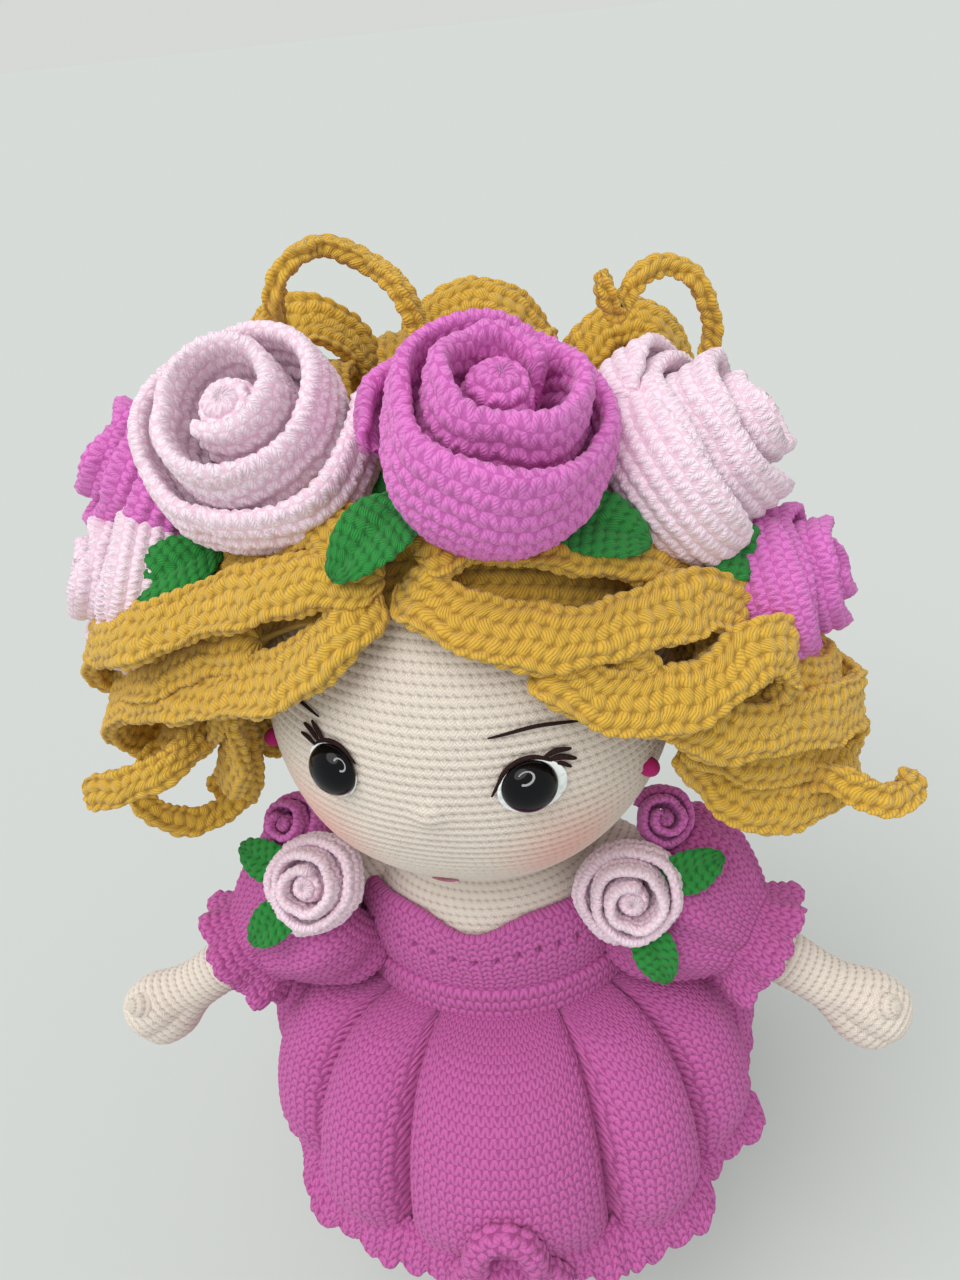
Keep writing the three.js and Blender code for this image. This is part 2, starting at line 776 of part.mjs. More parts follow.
const eyeAzimuth = 24.3;
const eyeLatitude = 2.5;
const earAzimuth = 63.4;
const earLatitude = -9;
const eyeDomeHeight = 4.2;
const eyeRim = 0.8;
const shankRadius = 1.8;
const shankLength = 12;
const washerDepth = 5;
const washerRadius = 6.5;
const washerThickness = 1.6;
const feltRadius = 7.6;
const feltThickness = 1;
const feltShift = 1.6;
const feltShiftShares = [0.6, -0.8];
const earringRadius = 2.2;
const earringSegments = 8;
const eyeSegments = 12;
const eyeDomeSteps = 4;
const eyeSeatDistance = headRadius + clearance + feltThickness + clearance;

function eyeBody() {
  const profile = [[0, eyeDomeHeight]];
  for (let i = 1; i <= eyeDomeSteps; i += 1) {
    const lift = (Math.PI / 2) * (1 - i / eyeDomeSteps);
    const height = eyeRim + (eyeDomeHeight - eyeRim) * Math.sin(lift);
    profile.push([(eyeDiameter / 2) * Math.cos(lift), height]);
  }
  profile.push([(eyeDiameter - eyeRim) / 2, 0], [shankRadius, 0]);
  profile.push([shankRadius, -shankLength], [0, -shankLength]);
  return turned(profile, eyeSegments);
}

function eyePocket() {
  const reach = eyeSeatDistance - headRadius;
  const bore = rod(shankRadius + clearance, -shankLength - clearance, eyeDomeHeight, eyeSegments);
  const top = -reach - washerDepth + clearance;
  const pocket = rod(washerRadius + clearance, top - washerThickness - 2 * clearance, top, eyeSegments);
  return joined(bore, pocket);
}

function washerBody() {
  const top = -(eyeSeatDistance - headRadius) - washerDepth;
  const inner = shankRadius + clearance;
  const bottom = top - washerThickness;
  const section = [[inner, bottom], [washerRadius, bottom], [washerRadius, top], [inner, top]];
  return turnedRing(section, eyeSegments);
}

// The felt behind an eye follows the head's curve. Its hole clears the shank.
function feltBody() {
  const hole = shankRadius + clearance + feltShift;
  const inner = headRadius + clearance;
  const outer = inner + feltThickness;
  const sag = (radius, sphere) => Math.sqrt(sphere ** 2 - radius ** 2) - inner;
  const middle = (hole + feltRadius) / 2;
  return turnedRing([
    [hole, sag(hole, inner)], [middle, sag(middle, inner)], [feltRadius, sag(feltRadius, inner)],
    [feltRadius, sag(feltRadius, outer)], [middle, sag(middle, outer)], [hole, sag(hole, outer)],
  ], eyeSegments);
}

const eyeSides = [['left', 1], ['right', -1]];
const headCutters = [dowelBody(clearance).translate(0, 0, -headCentreHeight)];
for (const [, side] of eyeSides) {
  headCutters.push(eyePocket().applyMatrix4(faceSeat(side * eyeAzimuth, eyeLatitude, eyeSeatDistance)));
}
addPiece(headGroup, 'head', cut(ball(headRadius, origin, headSegments), headCutters), colours.skin);

for (const [name, side] of eyeSides) {
  const seat = faceSeat(side * eyeAzimuth, eyeLatitude, eyeSeatDistance);
  addPiece(headGroup, `${name}_eye`, eyeBody(), colours.black, glossFinish).applyMatrix4(seat);
  addPiece(headGroup, `${name}_eye_washer`, washerBody(), colours.plastic, plainFinish).applyMatrix4(seat);
  const shift = THREE.MathUtils.radToDeg(feltShift / headRadius);
  const [outShare, upShare] = feltShiftShares;
  const feltAzimuth = side * (eyeAzimuth + outShare * shift);
  const feltSeat = faceSeat(feltAzimuth, eyeLatitude + upShare * shift, headRadius + clearance);
  addPiece(headGroup, `${name}_eye_felt`, feltBody(), colours.felt).applyMatrix4(feltSeat);
  const earSeat = faceSeat(side * earAzimuth, earLatitude, headRadius + clearance + earringRadius);
  const earring = ball(earringRadius, origin, earringSegments).applyMatrix4(earSeat);
  addPiece(headGroup, `${name}_earring`, earring, colours.crimson, plainFinish);
}

// Hair cap: a shell over the crown and back of the head, tilted backwards

const capTilt = 42.5;
const capReach = 82.5;
const capRows = 6;
const capSegments = 24;

function hairCap() {
  const tilt = THREE.MathUtils.degToRad(capTilt);
  const reach = THREE.MathUtils.degToRad(capReach);
  const axis = new THREE.Vector3(0, Math.sin(tilt), Math.cos(tilt));
  const along = new THREE.Vector3().crossVectors(axis, leftward);
  const ring = (share, radius) => {
    const centre = axis.clone().multiplyScalar(radius * Math.cos(share * reach));
    return circleRing(centre, leftward, along, () => radius * Math.sin(share * reach), capSegments);
  };
  const inner = headRadius + capGap;
  const outer = inner + capThickness;
  const rings = [];
  for (let i = 1; i <= capRows; i += 1) {
    rings.push(ring(i / capRows, outer));
  }
  for (let i = capRows; i >= 1; i -= 1) {
    rings.push(ring(i / capRows, inner));
  }
  return loft(rings, { tips: [axis.clone().multiplyScalar(outer), axis.clone().multiplyScalar(inner)] });
}
addPiece(headGroup, 'hair_cap', hairCap(), colours.hair);

// Crown: six roses of falling size on an arched band from ear to ear, with leaves

// Each rose: its place as shares of the head's radius, the way it faces, and its
// diameter and height as shares of the largest rose's diameter.
const crownRoses = [
  {
    name: 'right_low',
    placeShares: [-1.54, 0.0, 0.64],
    face: [-0.9, -0.2, 0.38],
    sizeShares: [0.74, 0.5],
    colour: colours.palePink,
  },
  {
    name: 'right_mid',
    placeShares: [-1.44, 0.34, 1.02],
    face: [-0.82, -0.1, 0.55],
    sizeShares: [0.86, 0.54],
    colour: colours.crownMagenta,
  },
  {
    name: 'right_high',
    placeShares: [-0.78, -0.14, 1.37],
    face: [-0.12, -0.6, 0.78],
    sizeShares: [0.99, 0.56],
    colour: colours.palePink,
  },
  {
    name: 'centre',
    placeShares: [0.23, -0.47, 1.42],
    face: [0.22, -0.36, 0.9],
    sizeShares: [1, 0.6],
    colour: colours.crownMagenta,
  },
  {
    name: 'left_high',
    placeShares: [1.06, -0.03, 1.12],
    face: [0.8, -0.06, 0.6],
    sizeShares: [0.86, 0.6],
    colour: colours.palePink,
  },
  {
    name: 'left_mid',
    placeShares: [1.44, -0.1, 0.5],
    face: [0.94, -0.1, 0.33],
    sizeShares: [0.72, 0.5],
    colour: colours.crownMagenta,
  },
];
const bandRadius = 2.6;
const bandSegments = 6;
const bandSteps = 16;
const bandEndShares = [[-1.15, 0.1, 0.18], [1.14, 0.05, 0.12]];
const bandSeatShare = 0.98;

for (const rose of crownRoses) {
  rose.centre = fromShares(rose.placeShares, headRadius);
  rose.facing = new THREE.Vector3(...rose.face).normalize();
  rose.diameter = rose.sizeShares[0] * crownRoseDiameter;
  rose.height = rose.sizeShares[1] * crownRoseDiameter;
  rose.place = seatMatrix(rose.centre, rose.facing);
}

function grownRose(rose, extra) {
  return roseBody(rose.diameter, rose.height, extra).applyMatrix4(rose.place);
}

// A cord of round section along a curve, with flat ends.
function cordBody(points, radius, segments, steps) {
  const curve = new THREE.CatmullRomCurve3(points);
  const outline = circleRing(origin, leftward, backward, () => radius, segments);
  const section = new THREE.Shape(outline.map((point) => new THREE.Vector2(point.x, point.y)));
  return new THREE.ExtrudeGeometry(section, { steps, extrudePath: curve, bevelEnabled: false });
}

const bandPoints = [
  fromShares(bandEndShares[0], headRadius),
  ...crownRoses.map((rose) => rose.centre.clone().addScaledVector(
    rose.facing,
    -(bandSeatShare * rose.height) / 2 - bandRadius - clearance,
  )),
  fromShares(bandEndShares[1], headRadius),
];
const bandBody = (extra) => cordBody(bandPoints, bandRadius + extra, bandSegments, bandSteps);
const capRoomSegments = 32;
const capRoom = ball(headRadius + capGap + capThickness + runningGap, origin, capRoomSegments);
const grownRoses = crownRoses.map((rose) => grownRose(rose, clearance));

crownRoses.forEach((rose, i) => {
  const geometry = cut(grownRose(rose, 0), [capRoom, ...grownRoses.slice(0, i)]);
  addPiece(headGroup, `crown_rose_${rose.name}`, geometry, rose.colour);
});
addPiece(headGroup, 'crown_band', cut(bandBody(0), [capRoom, ...grownRoses]), colours.leaf);

const crownLeafWidth = 13;
const crownLeaves = [
  {
    name: 'right_low',
    baseShares: [-1.0, -0.15, 0.88],
    tipShares: [-1.42, -0.22, 0.7],
    face: [-0.3, -0.75, 0.6],
  },
  {
    name: 'right_high',
    baseShares: [-0.08, -0.49, 1.17],
    tipShares: [-0.4, -0.76, 1.0],
    face: [-0.1, -0.7, 0.7],
  },
  {
    name: 'left_high',
    baseShares: [0.42, -0.42, 1.05],
    tipShares: [0.82, -0.52, 0.94],
    face: [0.2, -0.7, 0.7],
  },
  {
    name: 'left_low',
    baseShares: [1.0, -0.26, 0.87],
    tipShares: [1.32, -0.36, 0.68],
    face: [0.5, -0.7, 0.5],
  },
];

function crownLeaf(leaf, extra) {
  const base = fromShares(leaf.baseShares, headRadius);
  const tip = fromShares(leaf.tipShares, headRadius);
  return leafBody(base, tip, new THREE.Vector3(...leaf.face), crownLeafWidth, leafThickness, extra);
}

for (const leaf of crownLeaves) {
  const cutters = [capRoom, bandBody(clearance), ...grownRoses];
  addPiece(headGroup, `crown_leaf_${leaf.name}`, cut(crownLeaf(leaf, 0), cutters), colours.leaf);
}

// Hair locks: flat crocheted strips with rounded edges. Places are shares of the
// head's radius; broad gives the strip's width direction at its root and its tip.
const locks = [
  {
    name: 'fringe_left_upper',
    shares: [
      [-0.16, -0.62, 0.9], [0.02, -0.74, 0.8], [0.27, -0.79, 0.72], [0.54, -0.78, 0.7],
      [0.82, -0.68, 0.71], [1.05, -0.55, 0.69], [1.2, -0.49, 0.54], [1.1, -0.44, 0.36],
    ],
    broad: [[0, 0.75, 0.66], [0.1, 0.75, 0.66]],
  },
  {
    name: 'fringe_left_middle',
    shares: [
      [0.12, -0.82, 0.62], [0.38, -0.88, 0.52], [0.66, -0.86, 0.45], [0.97, -0.78, 0.48],
      [1.24, -0.66, 0.54], [1.38, -0.58, 0.42], [1.3, -0.54, 0.2],
    ],
    broad: [[0.1, 0.6, 0.78], [0.1, 0.75, 0.66]],
  },
  {
    name: 'fringe_left_lower',
    shares: [
      [0.52, -0.9, 0.3], [0.72, -0.84, 0.18], [0.99, -0.78, 0.09], [1.32, -0.67, 0.08],
      [1.65, -0.46, 0.02], [1.8, -0.22, -0.07], [1.68, 0.02, -0.12],
    ],
    broad: [[0.2, 0.4, 0.9], [0.1, 0.7, 0.7]],
  },
  {
    name: 'side_left_curl',
    shares: [
      [0.84, -0.72, 0.02], [0.97, -0.66, -0.18], [1.26, -0.64, -0.34], [1.58, -0.52, -0.41],
      [1.78, -0.32, -0.39], [1.8, -0.1, -0.3],
    ],
    broad: [[0.4, 0.3, 0.87], [0.1, 0.7, 0.7]],
  },
  {
    name: 'side_left_tail',
    shares: [
      [1.5, -0.44, -0.34], [1.64, -0.62, -0.24], [1.8, -0.68, -0.3], [1.93, -0.63, -0.33],
      [2.0, -0.54, -0.28],
    ],
    broad: [[0, 0.5, 0.87], [0, 0.5, 0.87]],
    widthShare: 0.55,
  },
  {
    name: 'fringe_right_upper',
    shares: [
      [-0.22, -0.66, 0.94], [-0.42, -0.64, 0.94], [-0.72, -0.6, 0.88], [-1.04, -0.54, 0.76],
      [-1.42, -0.48, 0.62], [-1.74, -0.19, 0.42], [-1.8, -0.05, 0.2], [-1.56, 0.03, 0.06],
    ],
    broad: [[0, 0.75, 0.66], [0, 0.85, 0.5]],
  },
  {
    name: 'fringe_right_middle',
    shares: [
      [-0.26, -0.66, 0.9], [-0.46, -0.76, 0.7], [-0.76, -0.74, 0.52], [-1.08, -0.6, 0.4],
      [-1.42, -0.43, 0.27], [-1.74, -0.21, 0.08], [-1.8, -0.06, -0.2], [-1.54, 0.0, -0.38],
    ],
    broad: [[0.3, 0.6, 0.74], [0, 0.85, 0.5]],
  },
  {
    name: 'side_right_hanging',
    shares: [
      [-1.06, -0.5, 0.44], [-1.1, -0.42, 0.12], [-1.14, -0.38, -0.13], [-1.24, -0.36, -0.36],
    ],
    broad: [[0.5, -0.85, 0], [0.6, -0.8, 0]],
  },
  {
    name: 'side_right_tail',
    shares: [
      [-1.24, -0.3, 0.02], [-1.36, -0.58, -0.02], [-1.58, -0.64, -0.08], [-1.8, -0.62, -0.15],
    ],
    broad: [[0, 0.5, 0.87], [0, 0.5, 0.87]],
    widthShare: 0.6,
  },
  {
    name: 'side_right_ring',
    shares: [
      [-1.16, -0.12, -0.24], [-1.2, -0.16, -0.48], [-1.36, -0.28, -0.6], [-1.54, -0.38, -0.56],
      [-1.7, -0.36, -0.42], [-1.66, -0.18, -0.3], [-1.5, -0.06, -0.34],
    ],
    broad: [[0, 0.8, 0.6], [0, 0.8, 0.6]],
    widthShare: 0.5,
  },
  {
    name: 'top_arch_right',
    shares: [
      [-0.58, 0.38, 0.83], [-0.74, 0.46, 1.5], [-0.7, 0.4, 1.83], [-0.54, 0.57, 1.94],
      [-0.33, 0.58, 1.86], [-0.14, 0.48, 1.66], [-0.04, 0.4, 1.0],
    ],
    broad: [[0, 1, 0], [0, 1, 0]],
    widthShare: 0.55,
  },
  {
    name: 'top_arch_left',
    shares: [
      [0.81, 0.45, 0.55], [1.18, 0.53, 1.3], [1.15, 0.51, 1.62], [1.02, 0.53, 1.74],
      [0.88, 0.49, 1.72], [0.76, 0.42, 1.6], [0.7, 0.37, 1.78],
    ],
    broad: [[0, 1, 0], [0, 1, 0]],
    widthShare: 0.5,
  },
  {
    name: 'top_curl_right',
    shares: [
      [-0.68, 0.56, 0.66], [-1.06, 0.76, 1.2], [-0.9, 0.88, 1.52], [-0.62, 0.94, 1.5],
      [-0.4, 1.0, 1.18], [-0.3, 0.84, 0.66],
    ],
    broad: [[0, 0.75, 0.66], [0, 0.75, 0.66]],
  },
  {
    name: 'top_curl_middle',
    shares: [
      [-0.22, 0.56, 0.9], [-0.22, 0.78, 1.32], [0.0, 0.88, 1.56], [0.3, 0.9, 1.5],
      [0.46, 0.96, 1.16], [0.3, 0.84, 0.68],
    ],
    broad: [[0, 0.75, 0.66], [0, 0.75, 0.66]],
  },
  {
    name: 'top_curl_left',
    shares: [
      [0.54, 0.62, 0.72], [0.56, 0.82, 1.14], [0.76, 0.9, 1.4], [1.02, 0.88, 1.34],
      [1.14, 0.86, 0.94], [0.78, 0.62, 0.46],
    ],
    broad: [[0, 0.75, 0.66], [0, 0.75, 0.66]],
  },
];

// The section of a lock: broad, with rounded edges.
const lockSectionShares = [[1, 0], [0.68, 1], [-0.68, 1], [-1, 0], [-0.68, -1], [0.68, -1]];
const lockSteps = 12;
const lockEndShare = 0.7;

function lockBody({ shares, broad, widthShare = 1 }, extra) {
  const curve = new THREE.CatmullRomCurve3(shares.map((place) => fromShares(place, headRadius)));
  const [rootBroad, tipBroad] = broad.map((way) => new THREE.Vector3(...way).normalize());
  const restRadius = headRadius + capGap + capThickness + clearance + lockThickness / 2;
  const rings = [];
  for (let i = 0; i <= lockSteps; i += 1) {
    const share = i / lockSteps;
    const centre = curve.getPointAt(share);
    const tangent = curve.getTangentAt(share);
    if (i === 0 || i === lockSteps) {
      centre.addScaledVector(tangent, i === 0 ? -extra : extra);
    } else {
      centre.setLength(Math.max(centre.length(), restRadius));
    }
    const across = rootBroad.clone().lerp(tipBroad, share);
    across.addScaledVector(tangent, -across.dot(tangent)).normalize();
    const normal = new THREE.Vector3().crossVectors(tangent, across);
    const round = i === 0 || i === lockSteps ? lockEndShare : 1;
    const halfWidth = (widthShare * lockWidth * round) / 2 + extra;
    const halfThickness = (lockThickness * round) / 2 + extra;
    rings.push(lockSectionShares.map(([a, n]) => (
      centre.clone().addScaledVector(across, a * halfWidth).addScaledVector(normal, n * halfThickness)
    )));
  }
  return loft(rings);
}

const lockCutters = [
  capRoom,
  bandBody(clearance),
  ...grownRoses,
  ...crownLeaves.map((leaf) => crownLeaf(leaf, clearance)),
];
for (const lock of locks) {
  addPiece(headGroup, `lock_${lock.name}`, cut(lockBody(lock, 0), lockCutters), colours.hair);
  lockCutters.push(lockBody(lock, clearance));
}

// Two rows of curls on the back of the head. Each row is worked off one strip that is
// sewn along the cap, and each curl is a strip that turns over as it hangs.
const backRows = [
  { name: 'upper', latitude: 33, spread: 60, curls: 4, fall: 25 },
  { name: 'lower', latitude: 2, spread: 72, curls: 6, fall: 34 },
];
const curlSectionShares = [[1, 0], [0, 1], [-1, 0], [0, -1]];
const curlSteps = 5;
const curlTurn = 150;
const curlSwing = 4;
const curlSpreadShare = 0.88;
const stripSteps = 7;
const stripWidthShare = 0.6;
const stripLiftShare = 0.62;

// A strip along the back of the cap from one pair of azimuth and latitude to another,
// which stands some distance off the cap and may turn over and swing on its way.
function backStrip(from, to, { steps, width, lift, turn = 0, swing = 0 }) {
  const distance = headRadius + capGap + capThickness + clearance + lift;
  const [start, end] = [from, to].map((place) => new THREE.Vector2(...place));
  const placeAt = (share) => {
    const place = start.clone().lerp(end, share);
    const az = THREE.MathUtils.degToRad(place.x + swing * Math.sin(2 * Math.PI * share));
    const point = new THREE.Vector3(0, distance, 0);
    return point.applyAxisAngle(leftward, THREE.MathUtils.degToRad(place.y)).applyAxisAngle(upward, -az);
  };
  const rings = [];
  for (let i = 0; i <= steps; i += 1) {
    const centre = placeAt(i / steps);
    const tangent = placeAt((i + 1) / steps).sub(placeAt((i - 1) / steps)).normalize();
    const across = new THREE.Vector3().crossVectors(tangent, centre).normalize();
    across.applyAxisAngle(tangent, THREE.MathUtils.degToRad((turn * i) / steps));
    const normal = new THREE.Vector3().crossVectors(tangent, across);
    const [halfWidth, halfThickness] = [width / 2, lockThickness / 2];
    rings.push(curlSectionShares.map(([a, n]) => (
      centre.clone().addScaledVector(across, a * halfWidth).addScaledVector(normal, n * halfThickness)
    )));
  }
  return loft(rings);
}

const stripLift = stripLiftShare * lockThickness;
const curlLift = lockWidth / 2 + clearance;
const stripForm = { steps: stripSteps, width: stripWidthShare * lockWidth, lift: stripLift };
const curlForm = { steps: curlSteps, width: lockWidth, lift: curlLift, turn: curlTurn, swing: curlSwing };

for (const { name, latitude, spread, curls, fall } of backRows) {
  let geometry = backStrip([-spread, latitude], [spread, latitude], stripForm);
  for (let i = 0; i < curls; i += 1) {
    const azimuth = curlSpreadShare * spread * ((2 * i) / (curls - 1) - 1);
    geometry = joined(geometry, backStrip([azimuth, latitude], [azimuth, latitude - fall], curlForm));
  }
  addPiece(headGroup, `lock_back_${name}_row`, cut(geometry, lockCutters), colours.hair);
}

export default doll;
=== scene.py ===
"""Looks of a crocheted doll with a rose garland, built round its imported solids.

Metres, in the solids' frame: +Z is up, the doll faces -Y and its left arm is on +X.
Every yarn piece is a grid of points: lines run along the piece, and each line goes
round it. The grid is moved along its normals by the relief of its stitches.
"""

import bpy
import numpy as np

from mathutils import Matrix, Vector


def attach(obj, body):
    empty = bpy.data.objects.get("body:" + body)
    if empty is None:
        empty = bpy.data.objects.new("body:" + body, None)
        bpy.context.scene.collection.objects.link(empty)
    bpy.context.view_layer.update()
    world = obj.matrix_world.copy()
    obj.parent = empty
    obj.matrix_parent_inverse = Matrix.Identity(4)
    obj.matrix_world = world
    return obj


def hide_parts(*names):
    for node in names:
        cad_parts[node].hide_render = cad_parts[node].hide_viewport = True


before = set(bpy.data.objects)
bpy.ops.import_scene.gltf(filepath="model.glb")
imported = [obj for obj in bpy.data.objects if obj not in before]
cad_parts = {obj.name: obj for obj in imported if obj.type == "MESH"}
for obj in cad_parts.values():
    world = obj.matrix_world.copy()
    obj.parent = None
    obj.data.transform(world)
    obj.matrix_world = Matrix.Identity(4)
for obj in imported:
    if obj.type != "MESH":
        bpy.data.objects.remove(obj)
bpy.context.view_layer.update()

MM = 0.001

# Sizes that the solids share
HEAD_RADIUS = 50 * MM
HEAD_CENTRE = np.array([0, 0, 245]) * MM
TORSO_BOTTOM, TORSO_TOP, TORSO_RADIUS, TORSO_BROAD = 84 * MM, 206 * MM, 31 * MM, 1.26
LEG_SPACING, ANKLE_RADIUS, LEG_TOP = 34 * MM, 10.5 * MM, 92 * MM
SHOE_LENGTH, SHOE_WIDTH, SHOE_HEIGHT, SOLE_THICKNESS = 38 * MM, 25 * MM, 17 * MM, 5 * MM
SHOULDER_SPAN, SHOULDER_HEIGHT, SHOULDER_SETBACK = 64 * MM, 185 * MM, 2 * MM
ARM_REACH, ARM_RADIUS = 91 * MM, 9 * MM
WAIST_HEIGHT, WAISTBAND_HEIGHT, BODICE_TOP = 151 * MM, 12 * MM, 186 * MM
FABRIC = 3 * MM
SKIRT_RADIUS, SKIRT_HEM, PLEAT_DEPTH, FRILL_HEIGHT = 69 * MM, 99 * MM, 9 * MM, 9 * MM
SLEEVE_RADIUS, SLEEVE_START, SLEEVE_END, CUFF_LENGTH = 24 * MM, 8 * MM, 40 * MM, 9 * MM
ROSE_DIAMETER, SHOULDER_ROSE_DIAMETER, SHOULDER_ROSE_HEIGHT = 50 * MM, 27 * MM, 12 * MM
EYE_DIAMETER, EYE_DOME = 12 * MM, 4.2 * MM
LOCK_WIDTH, LOCK_THICKNESS = 13.5 * MM, 5.5 * MM
CAP_RADIUS, CAP_THICKNESS = 50.8 * MM, 2.4 * MM
CLEARANCE = 0.3 * MM

# Yarn: height of a row of stitches, how far the fine stitches stand out, and how far each
# row's stitches are shifted from those of the row below, in stitches
FINE_ROW, DRESS_ROW, HAIR_ROW, ROSE_ROW = 2.2 * MM, 2.5 * MM, 3.0 * MM, 3.9 * MM
FINE_RISE = 0.5 * MM
ROW_SHIFT = 0.35

# How far the head looks away from the front
FACE_YAW, FACE_PITCH, FACE_ROLL = np.radians([-7.7, -5.2, 2.5])


# Points and grids


def unit(vectors):
    """Vectors divided by their own lengths."""
    return vectors / np.maximum(np.linalg.norm(vectors, axis=-1, keepdims=True), 1e-12)


def smooth(share):
    """3x^2 - 2x^3 for x held between 0 and 1."""
    x = np.clip(share, 0, 1)
    return x * x * (3 - 2 * x)


def curve_through(points, count, closed=False):
    """Even steps along the Catmull-Rom curve through some points."""
    p = np.asarray(points, float)
    if closed:
        p = np.concatenate([p[-1:], p, p[:2]])
    else:
        p = np.concatenate([2 * p[:1] - p[1:2], p, 2 * p[-1:] - p[-2:-1]])
    spans = len(p) - 3
    at = np.linspace(0, spans, 32 * spans + 1)
    k = np.minimum(at.astype(int), spans - 1)
    f = (at - k)[:, None]
    a, b, c, d = p[k], p[k + 1], p[k + 2], p[k + 3]
    fine = 0.5 * (2 * b + (c - a) * f + (2 * a - 5 * b + 4 * c - d) * f**2 + (3 * b - a - 3 * c + d) * f**3)
    travelled = np.concatenate([[0], np.cumsum(np.linalg.norm(np.diff(fine, axis=0), axis=1))])
    even = np.linspace(0, travelled[-1], count)
    return np.stack([np.interp(even, travelled, fine[:, i]) for i in range(p.shape[1])], axis=1)


def lengths_along(points, axis=0):
    """Distance travelled along a grid's axis, starting from 0."""
    steps = np.linalg.norm(np.diff(points, axis=axis), axis=-1)
    start = np.zeros_like(np.take(steps, [0], axis=axis))
    return np.concatenate([start, np.cumsum(steps, axis=axis)], axis=axis)


def outward_normals(points, loop):
    """Cross product of a grid's central differences, turned away from each line's middle."""
    inner = points[: -1 if loop else None, :-1]
    if loop:
        along = np.roll(inner, -1, 0) - np.roll(inner, 1, 0)
    else:
        along = np.gradient(inner, axis=0)
    across = np.roll(inner, -1, 1) - np.roll(inner, 1, 1)
    normals = unit(np.cross(along, across))
    if np.sum(normals * (inner - inner.mean(axis=1, keepdims=True))) < 0:
        normals = -normals
    normals = np.concatenate([normals, normals[:, :1]], axis=1)
    return np.concatenate([normals, normals[:1]], axis=0) if loop else normals


def raised(points, height, loop=False):
    """A grid moved along its outward normals."""
    return points + outward_normals(points, loop) * np.broadcast_to(height, points.shape[:2])[..., None]


def uneven(stitch, row):
    """A number from 0 to 1 that differs from stitch to stitch without a pattern: the fraction
    of a large multiple of a sine of the stitch's and the row's whole numbers."""
    return np.mod(43758.5 * np.sin(12.9898 * np.floor(stitch) + 78.233 * np.floor(row) + 1), 1)


def drifting(stitch, row):
    """Stitches nudged along their row by two slow waves, as handwork is."""
    return stitch + 0.1 * np.sin(1.7 * row + 0.31 * stitch) + 0.08 * np.sin(0.9 * stitch - 2.3 * row)


def stitch_relief(stitch, row):
    """Height of crocheted fabric, 0 in a pit and 1 on a strand: each stitch is a V whose two
    legs part as they climb its row. Every row bulges, and no two stitches are quite alike."""
    stitch = drifting(stitch, row)
    x = np.abs(np.mod(stitch, 1) - 0.5)
    y = np.mod(row, 1)
    bulge = np.sin(np.pi * y) ** 0.7
    leg = np.clip(1 - ((x - 0.08 - 0.3 * y) / 0.26) ** 2, 0, 1)
    return bulge * (1 - 0.45 * (1 - leg)) * (0.84 + 0.28 * uneven(stitch, row))


def ridge_relief(stitch, row):
    """Height of tight single stitches: each row is a rounded ridge, and small pits lie in the
    groove between two rows."""
    stitch = drifting(stitch, row)
    ridge = np.abs(np.sin(np.pi * row)) ** 0.55
    x, y = np.mod(stitch, 1) - 0.5, np.mod(row + 0.5, 1) - 0.5
    pit = np.exp(-((x / 0.17) ** 2) - (y / 0.26) ** 2)
    return ridge * (0.88 + 0.12 * np.abs(np.sin(np.pi * stitch)) ** 0.5) - 0.5 * pit


def cluster_relief(stitch, row):
    """Height of thicker fabric, whose stitches are slanted bumps set half a stitch over on
    every other row: the product of a row's bulge and a stitch's bulge, each one uneven."""
    x = drifting(stitch, row) + 0.5 * np.mod(np.floor(row), 2) + 0.35 * np.mod(row, 1)
    bulge = np.abs(np.sin(np.pi * row)) ** 0.6
    return bulge * (0.35 + 0.65 * np.abs(np.sin(np.pi * x)) ** 0.5) * (0.75 + 0.4 * uneven(x, row))


def ring_of(angle, side, up):
    """Vectors at some angles from one vector towards another."""
    return np.cos(angle)[..., None] * side + np.sin(angle)[..., None] * up


def full_turn(count):
    """Even angles round a full turn, with the first one again at the end."""
    return np.linspace(0, 2 * np.pi, count + 1)


def grid_of(x, y, z):
    """Points from their coordinates, each spread over the whole grid."""
    return np.stack(np.broadcast_arrays(x, y, z), axis=-1)


def direction(azimuth, latitude):
    """Unit vectors at some angles to the left of the front, and up from level."""
    level = np.cos(latitude)
    return grid_of(np.sin(azimuth) * level, -np.cos(azimuth) * level, np.sin(latitude))


def square_to(way, vectors):
    """Unit vectors along what is left of some vectors at right angles to a way."""
    return unit(vectors - way * np.sum(vectors * way, axis=-1, keepdims=True))


def tube(centre, radius, count):
    """A round tube along a line: rings across it, kept from twisting by one side vector."""
    along = unit(np.gradient(centre, axis=0))
    aside = unit(np.cross(along, [0.0, 1.0, 0.0]))
    up = np.cross(along, aside)
    ring = ring_of(full_turn(count), aside[:, None], up[:, None])
    return centre[:, None] + ring * np.broadcast_to(radius, len(centre))[:, None, None]


